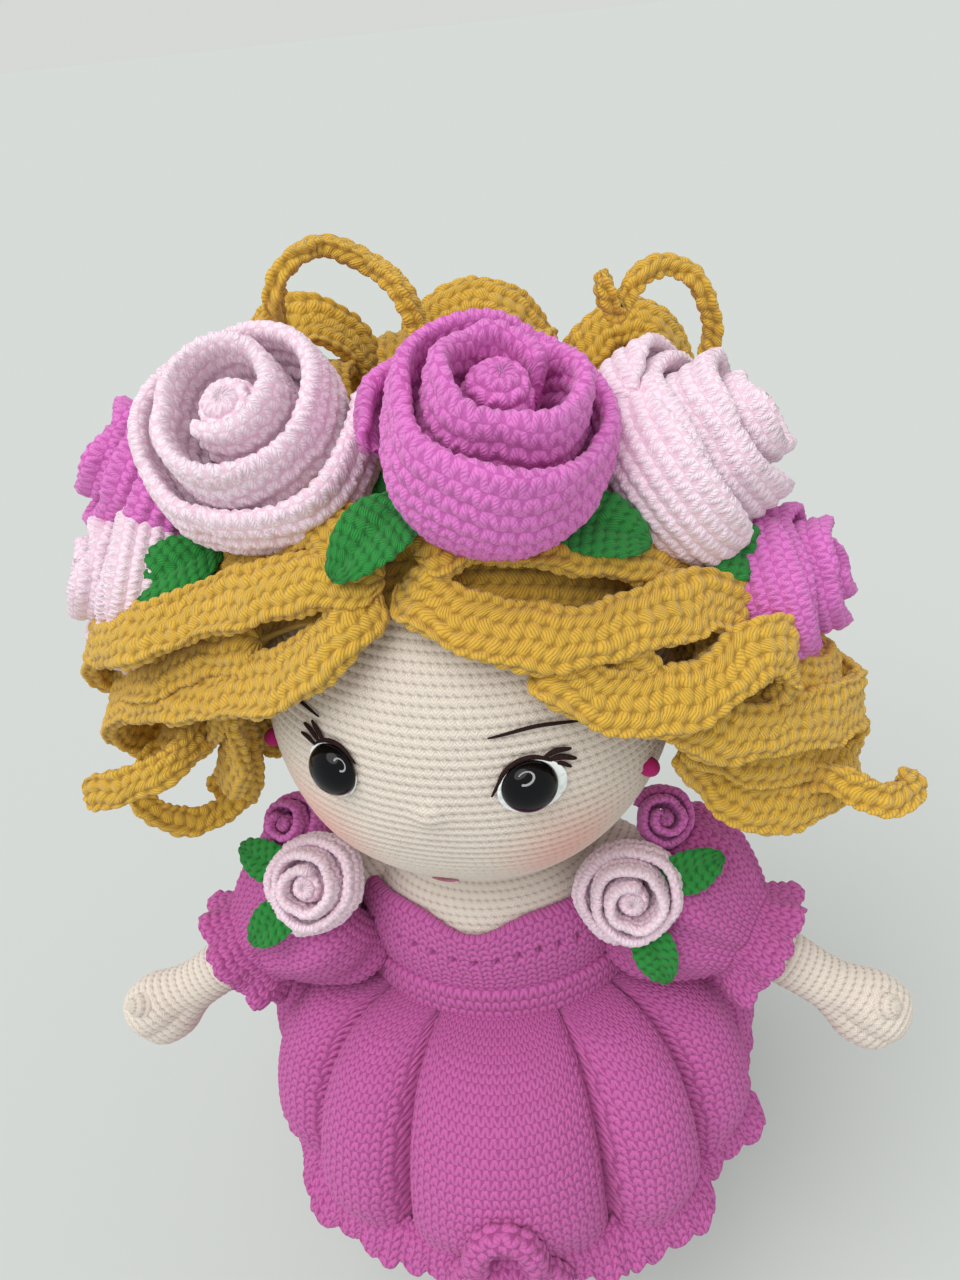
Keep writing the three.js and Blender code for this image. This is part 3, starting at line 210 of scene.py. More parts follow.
def mesh_from_grid(name, points, stitch, row, loop):
    """A closed mesh from a grid whose last column repeats its first. A loop's last line
    repeats its first, and a grid that isn't a loop has its ends closed by fans."""
    inner = points[: -1 if loop else None, :-1]
    lines, columns = inner.shape[:2]
    index = np.arange(lines * columns).reshape(lines, columns)
    index = np.concatenate([index, index[:, :1]], axis=1)
    if loop:
        index = np.concatenate([index, index[:1]], axis=0)
    uv = np.stack(np.broadcast_arrays(drifting(stitch, row), row, points[..., 0])[:2], axis=-1)
    corners = [(slice(None, -1), slice(None, -1)), (slice(None, -1), slice(1, None)),
               (slice(1, None), slice(1, None)), (slice(1, None), slice(None, -1))]
    quads = np.stack([index[c] for c in corners], axis=-1).reshape(-1, 4)
    quad_uv = np.stack([uv[c] for c in corners], axis=2).reshape(-1, 4, 2)
    co = inner.reshape(-1, 3)
    fans, fan_uv = np.zeros((0, 3), int), np.zeros((0, 3, 2))
    if not loop:
        tips = len(co) + np.arange(2)
        co = np.concatenate([co, inner[[0, -1]].mean(axis=1)])
        ends = [(tips[0], index[0, 1:], index[0, :-1], uv[0]),
                (tips[1], index[-1, :-1], index[-1, 1:], uv[-1])]
        fans = np.concatenate([np.stack([np.full(columns, tip), a, b], axis=1) for tip, a, b, _ in ends])
        fan_uv = np.concatenate([np.stack([t[:-1], t[:-1], t[1:]], axis=1) for *_, t in ends])
    a, b, c, d = (co[quads[:, i]] for i in range(4))
    volume = np.einsum("ij,ij->", a, np.cross(b, c)) + np.einsum("ij,ij->", a, np.cross(c, d))
    if len(fans):
        a, b, c = (co[fans[:, i]] for i in range(3))
        volume += np.einsum("ij,ij->", a, np.cross(b, c))
    if volume < 0:
        quads, quad_uv = quads[:, ::-1], quad_uv[:, ::-1]
        fans, fan_uv = fans[:, ::-1], fan_uv[:, ::-1]
    mesh = bpy.data.meshes.new(name)
    mesh.vertices.add(len(co))
    mesh.vertices.foreach_set("co", co.astype(np.float32).ravel())
    loops = np.concatenate([quads.ravel(), fans.ravel()]).astype(np.int32)
    starts = np.concatenate([np.arange(len(quads)) * 4, 4 * len(quads) + np.arange(len(fans)) * 3])
    mesh.loops.add(len(loops))
    mesh.loops.foreach_set("vertex_index", loops)
    mesh.polygons.add(len(starts))
    mesh.polygons.foreach_set("loop_start", starts.astype(np.int32))
    mesh.polygons.foreach_set("use_smooth", np.ones(len(starts), bool))
    layer = mesh.uv_layers.new(name="stitches")
    layer.data.foreach_set("uv", np.concatenate([quad_uv.ravel(), fan_uv.ravel()]).astype(np.float32))
    mesh.update(calc_edges=True)
    return mesh


def new_object(name, data):
    """An object, linked into the scene."""
    piece = bpy.data.objects.new(name, data)
    bpy.context.scene.collection.objects.link(piece)
    return piece


def add_piece(name, points, finish, body, stitch=0.0, row=0.0, replaces=(), loop=False):
    """A finished piece: its grid's mesh, riding on a body. A finish is a material and its slot, which is not
    used.
    """
    material, slot = finish
    mesh = mesh_from_grid(name, points, stitch, row, loop)
    mesh.materials.append(material)
    piece = new_object(name, mesh)
    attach(piece, body)
    if replaces:
        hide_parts(*replaces)
    return piece


# Materials


class Tree:
    """A material's or a group's nodes, with short ways to add and to join them."""

    def __init__(self, tree):
        self.nodes, self.links = tree.nodes, tree.links

    def feed(self, node, values):
        """Joins each named input to an output, or gives it a value. Colours are opaque."""
        for key, value in values.items():
            socket = node.inputs[key]
            if isinstance(value, bpy.types.NodeSocket):
                self.links.new(value, socket)
            elif socket.type == "RGBA":
                socket.default_value = (*value, 1)
            else:
                socket.default_value = value

    def add(self, kind, values, **settings):
        """A new node, with its settings made before its inputs are fed."""
        node = self.nodes.new(f"ShaderNode{kind}")
        for key, setting in settings.items():
            setattr(node, key, setting)
        self.feed(node, values)
        return node

    def maths(self, operation, *values):
        """The result of one operation on outputs or numbers."""
        return self.add("Math", dict(enumerate(values)), operation=operation).outputs[0]

    def mix(self, share, first, second):
        """A colour at some share of the way from one to another."""
        node = self.add("Mix", {}, data_type="RGBA")
        self.feed(node, {"Factor": share, "A": first, "B": second})
        return node.outputs["Result"]


def yarn_group(pattern):
    """Fine form of the yarn from the UV map, where one unit is a stitch or a row, with loose
    fibres from noise. "vees" has two legs to a stitch, "ridges" has pits in the grooves
    between rows, and "bumps" has slanted clusters. All have the twist of the plies. The
    height is for the bump. The second output is a mask of painted shade in the pits and
    grooves. The third is painted highlight on the plies' crests with painted shade
    between them, plus the fibres' uneven tone."""
    group = bpy.data.node_groups.new(f"{pattern} yarn", "ShaderNodeTree")
    for label in ("Ply count", "Fibre scale"):
        group.interface.new_socket(label, in_out="INPUT", socket_type="NodeSocketFloat")
    for label in ("Height", "Pit shade", "Strand"):
        group.interface.new_socket(label, in_out="OUTPUT", socket_type="NodeSocketFloat")
    tree = Tree(group)
    maths = tree.maths
    start, end = tree.nodes.new("NodeGroupInput"), tree.nodes.new("NodeGroupOutput")
    place = tree.add("TexCoord", {}).outputs["Object"]

    def noise(scale, detail):
        values = {"Vector": place, "Scale": scale, "Detail": detail, "Roughness": 0.65}
        return tree.add("TexNoise", values).outputs["Fac"]

    uv = tree.add("UVMap", {}, uv_map="stitches").outputs[0]
    stitch, row, _ = tree.add("SeparateXYZ", {0: uv}).outputs
    pi = float(np.pi)
    aside = maths("ABSOLUTE", maths("SUBTRACT", maths("FRACT", stitch), 0.5))
    up = maths("FRACT", row)
    bulge = maths("MAXIMUM", maths("SINE", maths("MULTIPLY", up, pi)), 0.001)
    lean = maths("MULTIPLY_ADD", up, 0.9, aside)
    # Each pattern's pit mask is painted shade where the yarn lies low
    if pattern == "vees":
        reach = maths("MULTIPLY_ADD", up, 0.3, 0.08)
        leg = maths("POWER", maths("DIVIDE", maths("SUBTRACT", aside, reach), 0.22), 2.0)
        leg = maths("MAXIMUM", maths("SUBTRACT", 1.0, leg), 0.0)
        form = maths("MULTIPLY", leg, maths("POWER", bulge, 0.5))
        pit = maths("SUBTRACT", 1.0, maths("MINIMUM", maths("MULTIPLY", form, 3.0), 1.0))
    elif pattern == "ridges":
        level = maths("SUBTRACT", maths("FRACT", maths("ADD", row, 0.5)), 0.5)
        apart = maths("ADD", maths("POWER", maths("DIVIDE", aside, 0.2), 2.0),
                      maths("POWER", maths("DIVIDE", level, 0.24), 2.0))
        hole = maths("POWER", 2.718, maths("MULTIPLY", apart, -1.0))
        groove = maths("POWER", maths("SUBTRACT", 1.0, bulge), 3.0)
        pit = maths("MINIMUM", maths("MULTIPLY_ADD", groove, 0.45, maths("MULTIPLY", hole, 0.6)), 1.0)
        form = maths("SUBTRACT", 1.0, hole)
    else:
        other = maths("FRACT", maths("MULTIPLY", maths("FLOOR", row), 0.5))
        slanted = maths("MULTIPLY_ADD", up, 0.35, maths("ADD", stitch, other))
        beside = maths("ABSOLUTE", maths("SINE", maths("MULTIPLY", slanted, pi)))
        form = maths("MULTIPLY", maths("POWER", bulge, 0.5), maths("POWER", beside, 0.3))
        corner = maths("MULTIPLY", maths("SUBTRACT", 1.0, bulge), maths("SUBTRACT", 1.0, beside))
        pit = maths("MINIMUM", maths("MULTIPLY", corner, 2.0), 1.0)
        way = maths("MULTIPLY_ADD", other, 4.0, -1.0)
        lean = maths("MULTIPLY_ADD", maths("MULTIPLY", up, way), 0.7, stitch)
    lean = maths("MULTIPLY_ADD", noise(330.0, 2.0), 0.5, lean)
    twist = maths("MULTIPLY", maths("MULTIPLY", lean, start.outputs["Ply count"]), pi)
    strand = maths("POWER", maths("ABSOLUTE", maths("SINE", twist)), 0.7)
    fibre = noise(start.outputs["Fibre scale"], 3.0)
    height = maths("MULTIPLY_ADD", maths("MULTIPLY", strand, form), 0.4, maths("MULTIPLY", form, 0.45))
    # The pit mask is painted shade; the strands' crests give painted highlight with painted shade between
    # them, and the fibres' noise gives uneven tone
    tree.feed(end, {
        "Height": maths("MULTIPLY_ADD", fibre, 0.4, height),
        "Pit shade": pit,
        "Strand": maths("MULTIPLY_ADD", fibre, 0.5, maths("MULTIPLY", strand, 0.75)),
    })
    return group


VEES, RIDGES, BUMPS = yarn_group("vees"), yarn_group("ridges"), yarn_group("bumps")

# Cells of noise to a metre, in the loose fibres and in the yarn's slow change of colour
FIBRE_SCALE, BLOTCH_SCALE = 900.0, 160.0


def yarn(name, colour, pit_shade_colour, pit_shade_share=0.5, ply=3.0, depth=0.4 * MM, sheen=0.12, spots=(),
         pattern=VEES, contrast=0.8):
    """Matt yarn with painted shade in its pits, and painted highlights on its strands' crests
    with painted shade between them. Its colour also varies at random in slow blotches and
    fine fibres. It has fibres in its bump and a soft sheen. Each spot is a centre, a radius,
    a colour and a strength, and tints the yarn round a point."""
    material = bpy.data.materials.new(name)
    material.use_nodes = True
    tree = Tree(material.node_tree)
    group = tree.add("Group", {}, node_tree=pattern)
    tree.feed(group, {"Ply count": ply, "Fibre scale": FIBRE_SCALE})
    place = tree.add("TexCoord", {}).outputs["Object"]
    blotch = tree.add("TexNoise", {"Vector": place, "Scale": BLOTCH_SCALE, "Detail": 4.0})
    # Painted highlight on the plies' crests and painted shade between them, with the blotches' and fibres'
    # uneven tone, choose between a darker and a paler colour
    tone_and_ply_highlight = tree.maths("MULTIPLY_ADD", blotch.outputs["Fac"], 0.4, group.outputs["Strand"])
    dark = [(1 - 0.5 * contrast) * c for c in colour]
    pale = [min(1.0, (1 + 0.3 * contrast) * c) for c in colour]
    tint = tree.mix(tone_and_ply_highlight, dark, pale)
    for centre, radius, spot_colour, strength in spots:
        distance = tree.add("VectorMath", {0: place, 1: centre.tolist()}, operation="DISTANCE")
        fade = tree.add("MapRange", {
            "Value": distance.outputs["Value"], "From Min": 0.0, "From Max": radius,
            "To Min": strength, "To Max": 0.0,
        }, interpolation_type="SMOOTHSTEP")
        tint = tree.mix(fade.outputs["Result"], tint, spot_colour)
    # Painted shade in the pits: the pit mask mixes in the darker pit colour
    tint = tree.mix(tree.maths("MULTIPLY", group.outputs["Pit shade"], pit_shade_share), tint, pit_shade_colour)
    bump = tree.add("Bump", {"Strength": 0.8, "Distance": depth, "Height": group.outputs["Height"]})
    tree.feed(tree.nodes["Principled BSDF"], {
        "Base Color": tint, "Normal": bump.outputs["Normal"], "Roughness": 0.85,
        "Specular IOR Level": 0.06, "Sheen Weight": sheen, "Sheen Roughness": 0.5,
    })
    return material


def plain(name, colour, roughness, specular=0.5, glow=0.0):
    """A smooth finish of one colour, which may give off white light."""
    material = bpy.data.materials.new(name)
    material.use_nodes = True
    tree = Tree(material.node_tree)
    values = {"Base Color": colour, "Roughness": roughness, "Specular IOR Level": specular}
    if glow:
        values.update({"Emission Color": (1, 1, 1), "Emission Strength": glow})
    tree.feed(tree.nodes["Principled BSDF"], values)
    return material


def linear(red, green, blue):
    """A linear colour from sRGB values of 0 to 255."""
    c = np.array([red, green, blue]) / 255
    return tuple(np.where(c < 0.04045, c / 12.92, ((c + 0.055) / 1.055) ** 2.4).tolist())


def face_turn(vectors):
    """Vectors of the upright face, turned to where the head looks: about X, then Y, then Z."""
    (cx, cy, cz), (sx, sy, sz) = (f([FACE_PITCH, FACE_ROLL, FACE_YAW]) for f in (np.cos, np.sin))
    about_x = np.array([[1, 0, 0], [0, cx, -sx], [0, sx, cx]])
    about_y = np.array([[cy, 0, sy], [0, 1, 0], [-sy, 0, cy]])
    about_z = np.array([[cz, -sz, 0], [sz, cz, 0], [0, 0, 1]])
    return vectors @ (about_z @ about_y @ about_x).T


def face_direction(azimuth, latitude):
    """Unit vectors at some degrees to the doll's left and some degrees up on its face."""
    return face_turn(direction(np.radians(azimuth), np.radians(latitude)))


def on_face(azimuth, latitude, distance=HEAD_RADIUS):
    """Points at some degrees on the face and at a distance from the head's centre."""
    return HEAD_CENTRE + distance * face_direction(azimuth, latitude)


# Finishes: each is a material and the name of its slot. In each yarn the second colour is painted shade for
# its pits. The blush lies on both cheeks.
BLUSH = linear(232, 168, 158)
BLUSH_SPOTS = [(on_face(side * 37, -24), 22 * MM, BLUSH, 0.75) for side in (1, -1)]
SKIN = (yarn("cream yarn", linear(214, 203, 192), linear(132, 108, 96), 0.55, depth=0.3 * MM,
             spots=BLUSH_SPOTS, pattern=RIDGES), "skin_yarn")
DRESS = (yarn("magenta yarn", linear(188, 94, 158), linear(112, 30, 88), contrast=0.65), "dress_yarn")
MAGENTA_ROSE = (yarn("orchid yarn", linear(214, 116, 192), linear(164, 54, 138), ply=4.0,
                     depth=0.5 * MM, sheen=0.25), "magenta_rose_yarn")
PALE_ROSE = (yarn("pale pink yarn", linear(243, 219, 231), linear(222, 162, 184), 0.42, ply=4.0,
                  depth=0.5 * MM, sheen=0.2, contrast=0.5), "pale_rose_yarn")
LEAF = (yarn("green yarn", linear(40, 128, 54), linear(8, 44, 18), pattern=BUMPS, ply=4.0,
             depth=0.6 * MM, contrast=1.3), "leaf_yarn")
HAIR = (yarn("golden yarn", linear(197, 156, 56), linear(112, 70, 14), 0.55, ply=4.0,
             depth=0.6 * MM, sheen=0.3, pattern=BUMPS, contrast=1.2), "hair_yarn")
SHOE = (yarn("shoe yarn", linear(236, 224, 208), linear(180, 162, 140)), "shoe_yarn")
FELT = (yarn("white felt", linear(228, 236, 233), linear(228, 236, 233), 0.0), "white_felt")
THREAD = (yarn("brown thread", linear(46, 26, 24), linear(20, 10, 10), 0.4, sheen=0.0), "skin_yarn")
MOUTH_THREAD = (yarn("mauve thread", linear(176, 108, 128), linear(120, 60, 80), 0.4), "skin_yarn")
EARRING = (yarn("crimson yarn", linear(190, 40, 116), linear(110, 10, 60), 0.4), "earring_bead")
EYE = (plain("gloss black plastic", (0.002, 0.002, 0.003), 0.05, specular=0.2), "eye_plastic")


# Head

SIDES = (("left", 1), ("right", -1))

# Degrees to the side and up on the face, of the eyes, their felt discs and the ear knots
EYE_AZIMUTH, EYE_LATITUDE = 24.3, 2.5
FELT_AZIMUTH, FELT_LATITUDE = 25.2, 1.8
EAR_AZIMUTH, EAR_LATITUDE = 63.4, -9
FELT_RADIUS, FELT_THICKNESS = 6.3 * MM, 0.6 * MM
FELT_BREADTH = {"left": 1.19, "right": 1.06}
KNOT_RADIUS, KNOT_HEIGHT = 2.3 * MM, 2.6 * MM

# Swellings of the head: degrees to the left and up, then breadth and height in millimetres
NOSE = (0, -6, 3.2, 1.5)
CHEEKS = [(side * 33, -24, 15, 1.0) for side in (1, -1)]
SOCKETS = [(side * EYE_AZIMUTH, EYE_LATITUDE, 8.0, -0.8) for side in (1, -1)]


def head():
    """A sphere of stitches in level rows, closer together on the face than at the back, with
    a small nose, soft cheeks and a shallow socket behind each eye."""
    front, fine_columns, coarse_columns = np.radians(105), 310, 50
    azimuth = np.concatenate([
        np.linspace(-front, front, fine_columns),
        np.linspace(front, 2 * np.pi - front, coarse_columns)[1:],
    ])
    quarter_row = FINE_ROW / HEAD_RADIUS / 4
    latitude = np.concatenate([
        np.arange(np.radians(-84), np.radians(64), quarter_row),
        np.linspace(np.radians(66), np.radians(86), 8),
    ])
    lat, az = np.meshgrid(latitude, azimuth, indexing="ij")
    out = direction(az, lat)
    row = lat * HEAD_RADIUS / FINE_ROW
    count = round(2 * np.pi * HEAD_RADIUS / FINE_ROW)
    stitch = az * count / (2 * np.pi) + ROW_SHIFT * np.floor(row + 1e-6)
    swell = np.zeros_like(lat)
    for spot_az, spot_lat, width, height in [NOSE, *CHEEKS, *SOCKETS]:
        spot = direction(np.radians(spot_az), np.radians(spot_lat))
        apart = HEAD_RADIUS * np.linalg.norm(out - spot, axis=-1)
        swell += height * MM * np.exp(-((apart / (width * MM)) ** 2))
    points = HEAD_CENTRE + face_turn(out) * (HEAD_RADIUS - 0.35 * MM + swell)[..., None]
    points = raised(points, 0.6 * MM * (ridge_relief(stitch, row) - 0.5))
    piece = add_piece("head_yarn", points, SKIN, "head_body", stitch, row, ["head"])


def dome(name, seat, outward, radius, height, finish, replaces=(), steps=48, broad=1.0):
    """A flat-backed cap of a sphere on a seat."""
    quarter = np.linspace(0, 0.98, 24) * np.pi / 2
    profile = np.stack([radius * np.cos(quarter), height * np.sin(quarter)], axis=1)
    profile = np.concatenate([[[0.2 * radius, -0.8 * MM], [0.93 * radius, -0.8 * MM]], profile])
    side = unit(np.cross(outward, [0, 0, 1.0]))
    ring = ring_of(full_turn(steps), broad * side, np.cross(side, outward))
    points = seat + profile[:, None, :1] * ring + profile[:, None, 1:] * outward
    add_piece(name, points, finish, "head_body", replaces=replaces)


def eyes():
    """Two glossy domes, each on a felt disc that shows below and beside it."""
    for name, side in SIDES:
        outward = face_direction(side * EYE_AZIMUTH, EYE_LATITUDE)
        seat = HEAD_CENTRE + outward * (HEAD_RADIUS + 0.4 * MM)
        dome(f"{name}_eye_dome", seat, outward, EYE_DIAMETER / 2, EYE_DOME, EYE, [f"{name}_eye"])
        outward = face_direction(side * FELT_AZIMUTH, FELT_LATITUDE)
        seat = HEAD_CENTRE + outward * HEAD_RADIUS
        dome(f"{name}_felt_disc", seat, outward, FELT_RADIUS, FELT_THICKNESS, FELT, [f"{name}_eye_felt"],
             broad=FELT_BREADTH[name])


def thread(name, route, radius, finish):
    """A sewn thread on the face: a round tube along a route of azimuth and latitude, thinner
    at its two ends."""
    line = curve_through(route, 40)
    centre = on_face(line[:, 0], line[:, 1], HEAD_RADIUS + 0.3 * MM)
    out = unit(centre - HEAD_CENTRE)
    aside = np.cross(unit(np.gradient(centre, axis=0)), out)
    end = 0.35
    width = radius * (end + (1 - end) * np.sin(np.pi * np.linspace(0, 1, len(line))) ** 0.6)
    angle = full_turn(12)
    ring = ring_of(angle, aside[:, None], 0.8 * out[:, None])
    points = centre[:, None] + ring * width[:, None, None]
    row = lengths_along(centre)[:, None] / (1.2 * MM)
    add_piece(name, points, finish, "head_body", angle / np.pi, row)


# Threads of the face: routes in degrees to the left and up, and a radius in millimetres
THREADS = {
    "left_brow": ([(15, 15.6), (27, 17.0), (39, 15.6)], 0.45),
    "right_brow": ([(-29.5, 14.6), (-38, 15.6), (-48, 12.6)], 0.45),
    "left_lid": ([(15.4, 0.6), (16.9, 3.6), (18.6, 7.0), (21.7, 9.2), (25.6, 9.7), (29.1, 8.2),
                  (31.0, 6.2)], 0.55),
    "left_lash_upper": ([(27.6, 8.8), (31.0, 10.0), (35.2, 9.6)], 0.6),
    "left_lash_middle": ([(29.2, 8.0), (32.4, 8.2), (36.4, 6.6)], 0.65),
    "left_lash_lower": ([(30.4, 6.8), (32.6, 6.4), (35.0, 4.8)], 0.5),
    "right_lid": ([(-17.6, 6.0), (-21.7, 9.2), (-25.6, 9.7), (-29.1, 8.2), (-31.0, 6.2)], 0.55),
    "right_lash_upper": ([(-27.4, 9.0), (-30.0, 11.2), (-32.0, 12.8)], 0.6),
    "right_lash_middle": ([(-29.0, 8.2), (-32.4, 10.2), (-35.0, 11.0)], 0.6),
    "right_lash_lower": ([(-30.4, 6.8), (-33.4, 7.8), (-36.0, 8.0)], 0.55),
    "mouth": ([(-4.6, -39.4), (0, -41.2), (4.6, -39.4)], 0.5),
}


def sewn_face():
    """Brows, upper lid lines with lashes, a mouth and two ear knots."""
    for name, (route, radius) in THREADS.items():
        thread(name, route, radius * MM, MOUTH_THREAD if name == "mouth" else THREAD)
    for name, side in SIDES:
        outward = face_direction(side * EAR_AZIMUTH, EAR_LATITUDE)
        seat = HEAD_CENTRE + outward * (HEAD_RADIUS + 0.2 * MM)
        dome(f"{name}_ear_knot", seat, outward, KNOT_RADIUS, KNOT_HEIGHT, EARRING, [f"{name}_earring"],
             steps=24)


head()
eyes()
sewn_face()


# Torso, legs and shoes


def turned(profile, radius_for_stitches, centre=(0, 0), broad=1.0):
    """A stuffed piece: its profile of radius and height turned about an upright axis, and
    widened from side to side. It has three columns to a stitch."""
    count = round(2 * np.pi * radius_for_stitches / FINE_ROW)
    angle = full_turn(count * 3)
    points = grid_of(
        centre[0] + broad * profile[:, :1] * np.cos(angle),
        centre[1] + profile[:, :1] * np.sin(angle),
        profile[:, 1:],
    )
    row = lengths_along(profile)[:, None] / FINE_ROW
    stitch = angle / (2 * np.pi) * count + ROW_SHIFT * np.floor(row)
    return raised(points, FINE_RISE * (ridge_relief(stitch, row) - 0.5)), stitch, row


# The torso's profile, as shares of its radius and height
TORSO_SHARES = [
    (0.05, 0), (0.55, 0.01), (0.88, 0.07), (1, 0.17), (0.97, 0.3), (0.88, 0.47),
    (0.88, 0.62), (0.92, 0.74), (0.84, 0.84), (0.6, 0.91), (0.44, 0.95), (0.42, 1),
]
TORSO_HEIGHT = TORSO_TOP - TORSO_BOTTOM
TORSO_LINE = curve_through(
    [(r * TORSO_RADIUS, TORSO_BOTTOM + h * TORSO_HEIGHT) for r, h in TORSO_SHARES], 160)


def torso_radius(height):
    """Radius of the torso at a height, from its profile."""
    return np.interp(height, TORSO_LINE[:, 1], TORSO_LINE[:, 0])


def torso():
    """The stuffed torso and its neck, which ends inside the head."""
    below_top = TORSO_LINE[TORSO_LINE[:, 1] < TORSO_TOP - 5 * MM]
    points, stitch, row = turned(below_top, 30 * MM, broad=TORSO_BROAD)
    piece = add_piece("torso_yarn", points, SKIN, "body", stitch, row, ["torso"])


def legs():
    """Straight legs that widen to the hips, and rounded shoes on flat soles."""
    shares = [(0.9, 0), (1, 0.02), (1, 0.15), (1.08, 0.45), (1.32, 0.75), (1.5, 0.94), (1.38, 1)]
    bottom = SOLE_THICKNESS + CLEARANCE
    for name, side in SIDES:
        x = side * LEG_SPACING / 2
        line = curve_through([(r * ANKLE_RADIUS, bottom + h * (LEG_TOP - bottom)) for r, h in shares], 130)
        points, stitch, row = turned(line, ANKLE_RADIUS, (x, 0))
        leg = add_piece(f"{name}_leg_yarn", points, SKIN, "body", stitch, row, [f"{name}_leg"])
        shoe(name, x)


def shoe(name, x):
    """Rings that shrink and lean back as they climb, over a flat sole."""
    profile = [(0.1, 0), (0.8, 0), (0.99, 0.12), (1.02, 0.4), (0.92, 0.72), (0.66, 1), (0.5, 1.0)]
    shares = curve_through(profile, 60)
    count = 44
    angle = full_turn(120)
    spread, height = shares[:, :1], np.clip(shares[:, 1:], 0, 1)
    forward = 0.17 * SHOE_LENGTH
    points = grid_of(
        x + spread * np.cos(angle) * SHOE_WIDTH / 2,
        -forward + height**2 * forward + spread * np.sin(angle) * SHOE_LENGTH / 2,
        height * SHOE_HEIGHT,
    )
    row = height * SHOE_HEIGHT / FINE_ROW
    stitch = angle / (2 * np.pi) * count
    relief = FINE_RISE * (stitch_relief(stitch, row) - 0.8) * smooth(height / 0.15)
    add_piece(f"{name}_shoe_yarn", raised(points, relief), SHOE, "body", stitch, row, [f"{name}_shoe"])


torso()
legs()


# Arms and sleeves


class Arm:
    """The frame of one arm: it runs along its own axis from the shoulder."""

    def __init__(self, name, side, droop, forward, rose_along, rose_around):
        self.name, self.side, self.body = name, side, f"{name}_arm_body"
        self.shoulder = np.array([side * SHOULDER_SPAN / 2, -SHOULDER_SETBACK, SHOULDER_HEIGHT])
        self.along = direction(side * np.radians(90 - forward), -np.radians(droop))
        self.up = square_to(self.along, np.array([0, 0, 1.0]))
        self.front = side * np.cross(self.along, self.up)
        self.rose_along, self.rose_around = rose_along * MM, np.radians(rose_around)

    def place(self, distance, angle, radius):
        """Points at a distance along the arm and an angle round it, where 0 is up."""
        ring = ring_of(angle, self.up, self.front)
        return self.shoulder + distance[..., None] * self.along + ring * radius[..., None]


# Degrees down from level and forward, and the shoulder rose: millimetres along the arm and
# degrees forward of its top
ARMS = [Arm("left", 1, 27, 21, 8, 57), Arm("right", -1, 29.5, 15.5, 9.5, 42)]


def arm_yarn(arm):
    """A stuffed arm: a tube that narrows to the wrist and widens to a flattened hand."""
    shares = [(-0.09, 0.25), (-0.05, 0.8), (0, 1), (0.12, 1), (0.35, 0.95), (0.58, 0.84), (0.74, 0.78),
              (0.8, 0.94), (0.87, 1.22), (0.95, 1.14), (0.99, 0.7), (1.0, 0.3)]
    line = curve_through([(d * ARM_REACH, r * ARM_RADIUS) for d, r in shares], 200)
    count = 26
    distance, angle = np.broadcast_arrays(line[:, :1], full_turn(count * 4))
    flat = 1 - 0.28 * smooth((distance / ARM_REACH - 0.74) / 0.1)
    points = arm.place(distance, angle, line[:, 1:] * (flat + (1 - flat) * np.abs(np.cos(angle))))
    row = lengths_along(line)[:, None] / FINE_ROW
    stitch = angle / (2 * np.pi) * count + ROW_SHIFT * np.floor(row)
    points = raised(points, FINE_RISE * (ridge_relief(stitch, row) - 0.5))
    piece = add_piece(f"{arm.name}_arm_yarn", points, SKIN, arm.body, stitch, row, [f"{arm.name}_arm"])


THUMB_LENGTH, THUMB_RADIUS, THUMB_PLACE = 17 * MM, 4.4 * MM, 0.86


def thumb(arm):
    """A small stuffed thumb on the upper edge of the hand: a tube whose radius follows the
    root of a sine."""
    way = unit(arm.up + 0.35 * arm.along + 0.45 * arm.front)
    aside = unit(np.cross(way, arm.along))
    root = arm.shoulder + THUMB_PLACE * ARM_REACH * arm.along
    count = 12
    share = np.linspace(0.03, 0.97, 30)
    angle = full_turn(40)
    radius = THUMB_RADIUS * np.sin(np.pi * share) ** 0.5
    along = (share - 0.15) * THUMB_LENGTH
    ring = ring_of(angle, aside, np.cross(way, aside))
    points = root + along[:, None, None] * way + radius[:, None, None] * ring
    row = along[:, None] / FINE_ROW
    stitch = angle / (2 * np.pi) * count
    points = raised(points, 0.4 * MM * (ridge_relief(stitch, row) - 0.5))
    add_piece(f"{arm.name}_thumb_yarn", points, SKIN, arm.body, stitch, row)


def wall(outline, thickness, count):
    """A closed loop round a cloth wall: out along an outline, over its edge and back inside."""
    line = curve_through(outline, count)
    way = unit(np.gradient(line, axis=0))
    inner = line + thickness * np.stack([way[:, 1], -way[:, 0]], axis=1)
    turn = np.linspace(0, np.pi, 7)[1:-1]

    def rim(start, end, ahead):
        middle = (start + end) / 2
        return middle + ring_of(turn, start - middle, ahead * thickness / 2)

    far = rim(line[-1], inner[-1], way[-1])
    near = rim(inner[0], line[0], -way[0])
    return np.concatenate([line, far, inner[::-1], near, line[:1]])


def dress_piece(name, points, relief, stitch, row, body="body"):
    """A closed wall of the dress with its stitches, in place of the node of its name."""
    points = raised(points, relief, loop=True)
    return add_piece(f"{name}_yarn", points, DRESS, body, stitch, row, [name], loop=True)


def dress_relief(stitch, row):
    """How far the dress's stitches stand out of its cloth."""
    return 0.6 * MM * (stitch_relief(stitch, row) - 0.6)


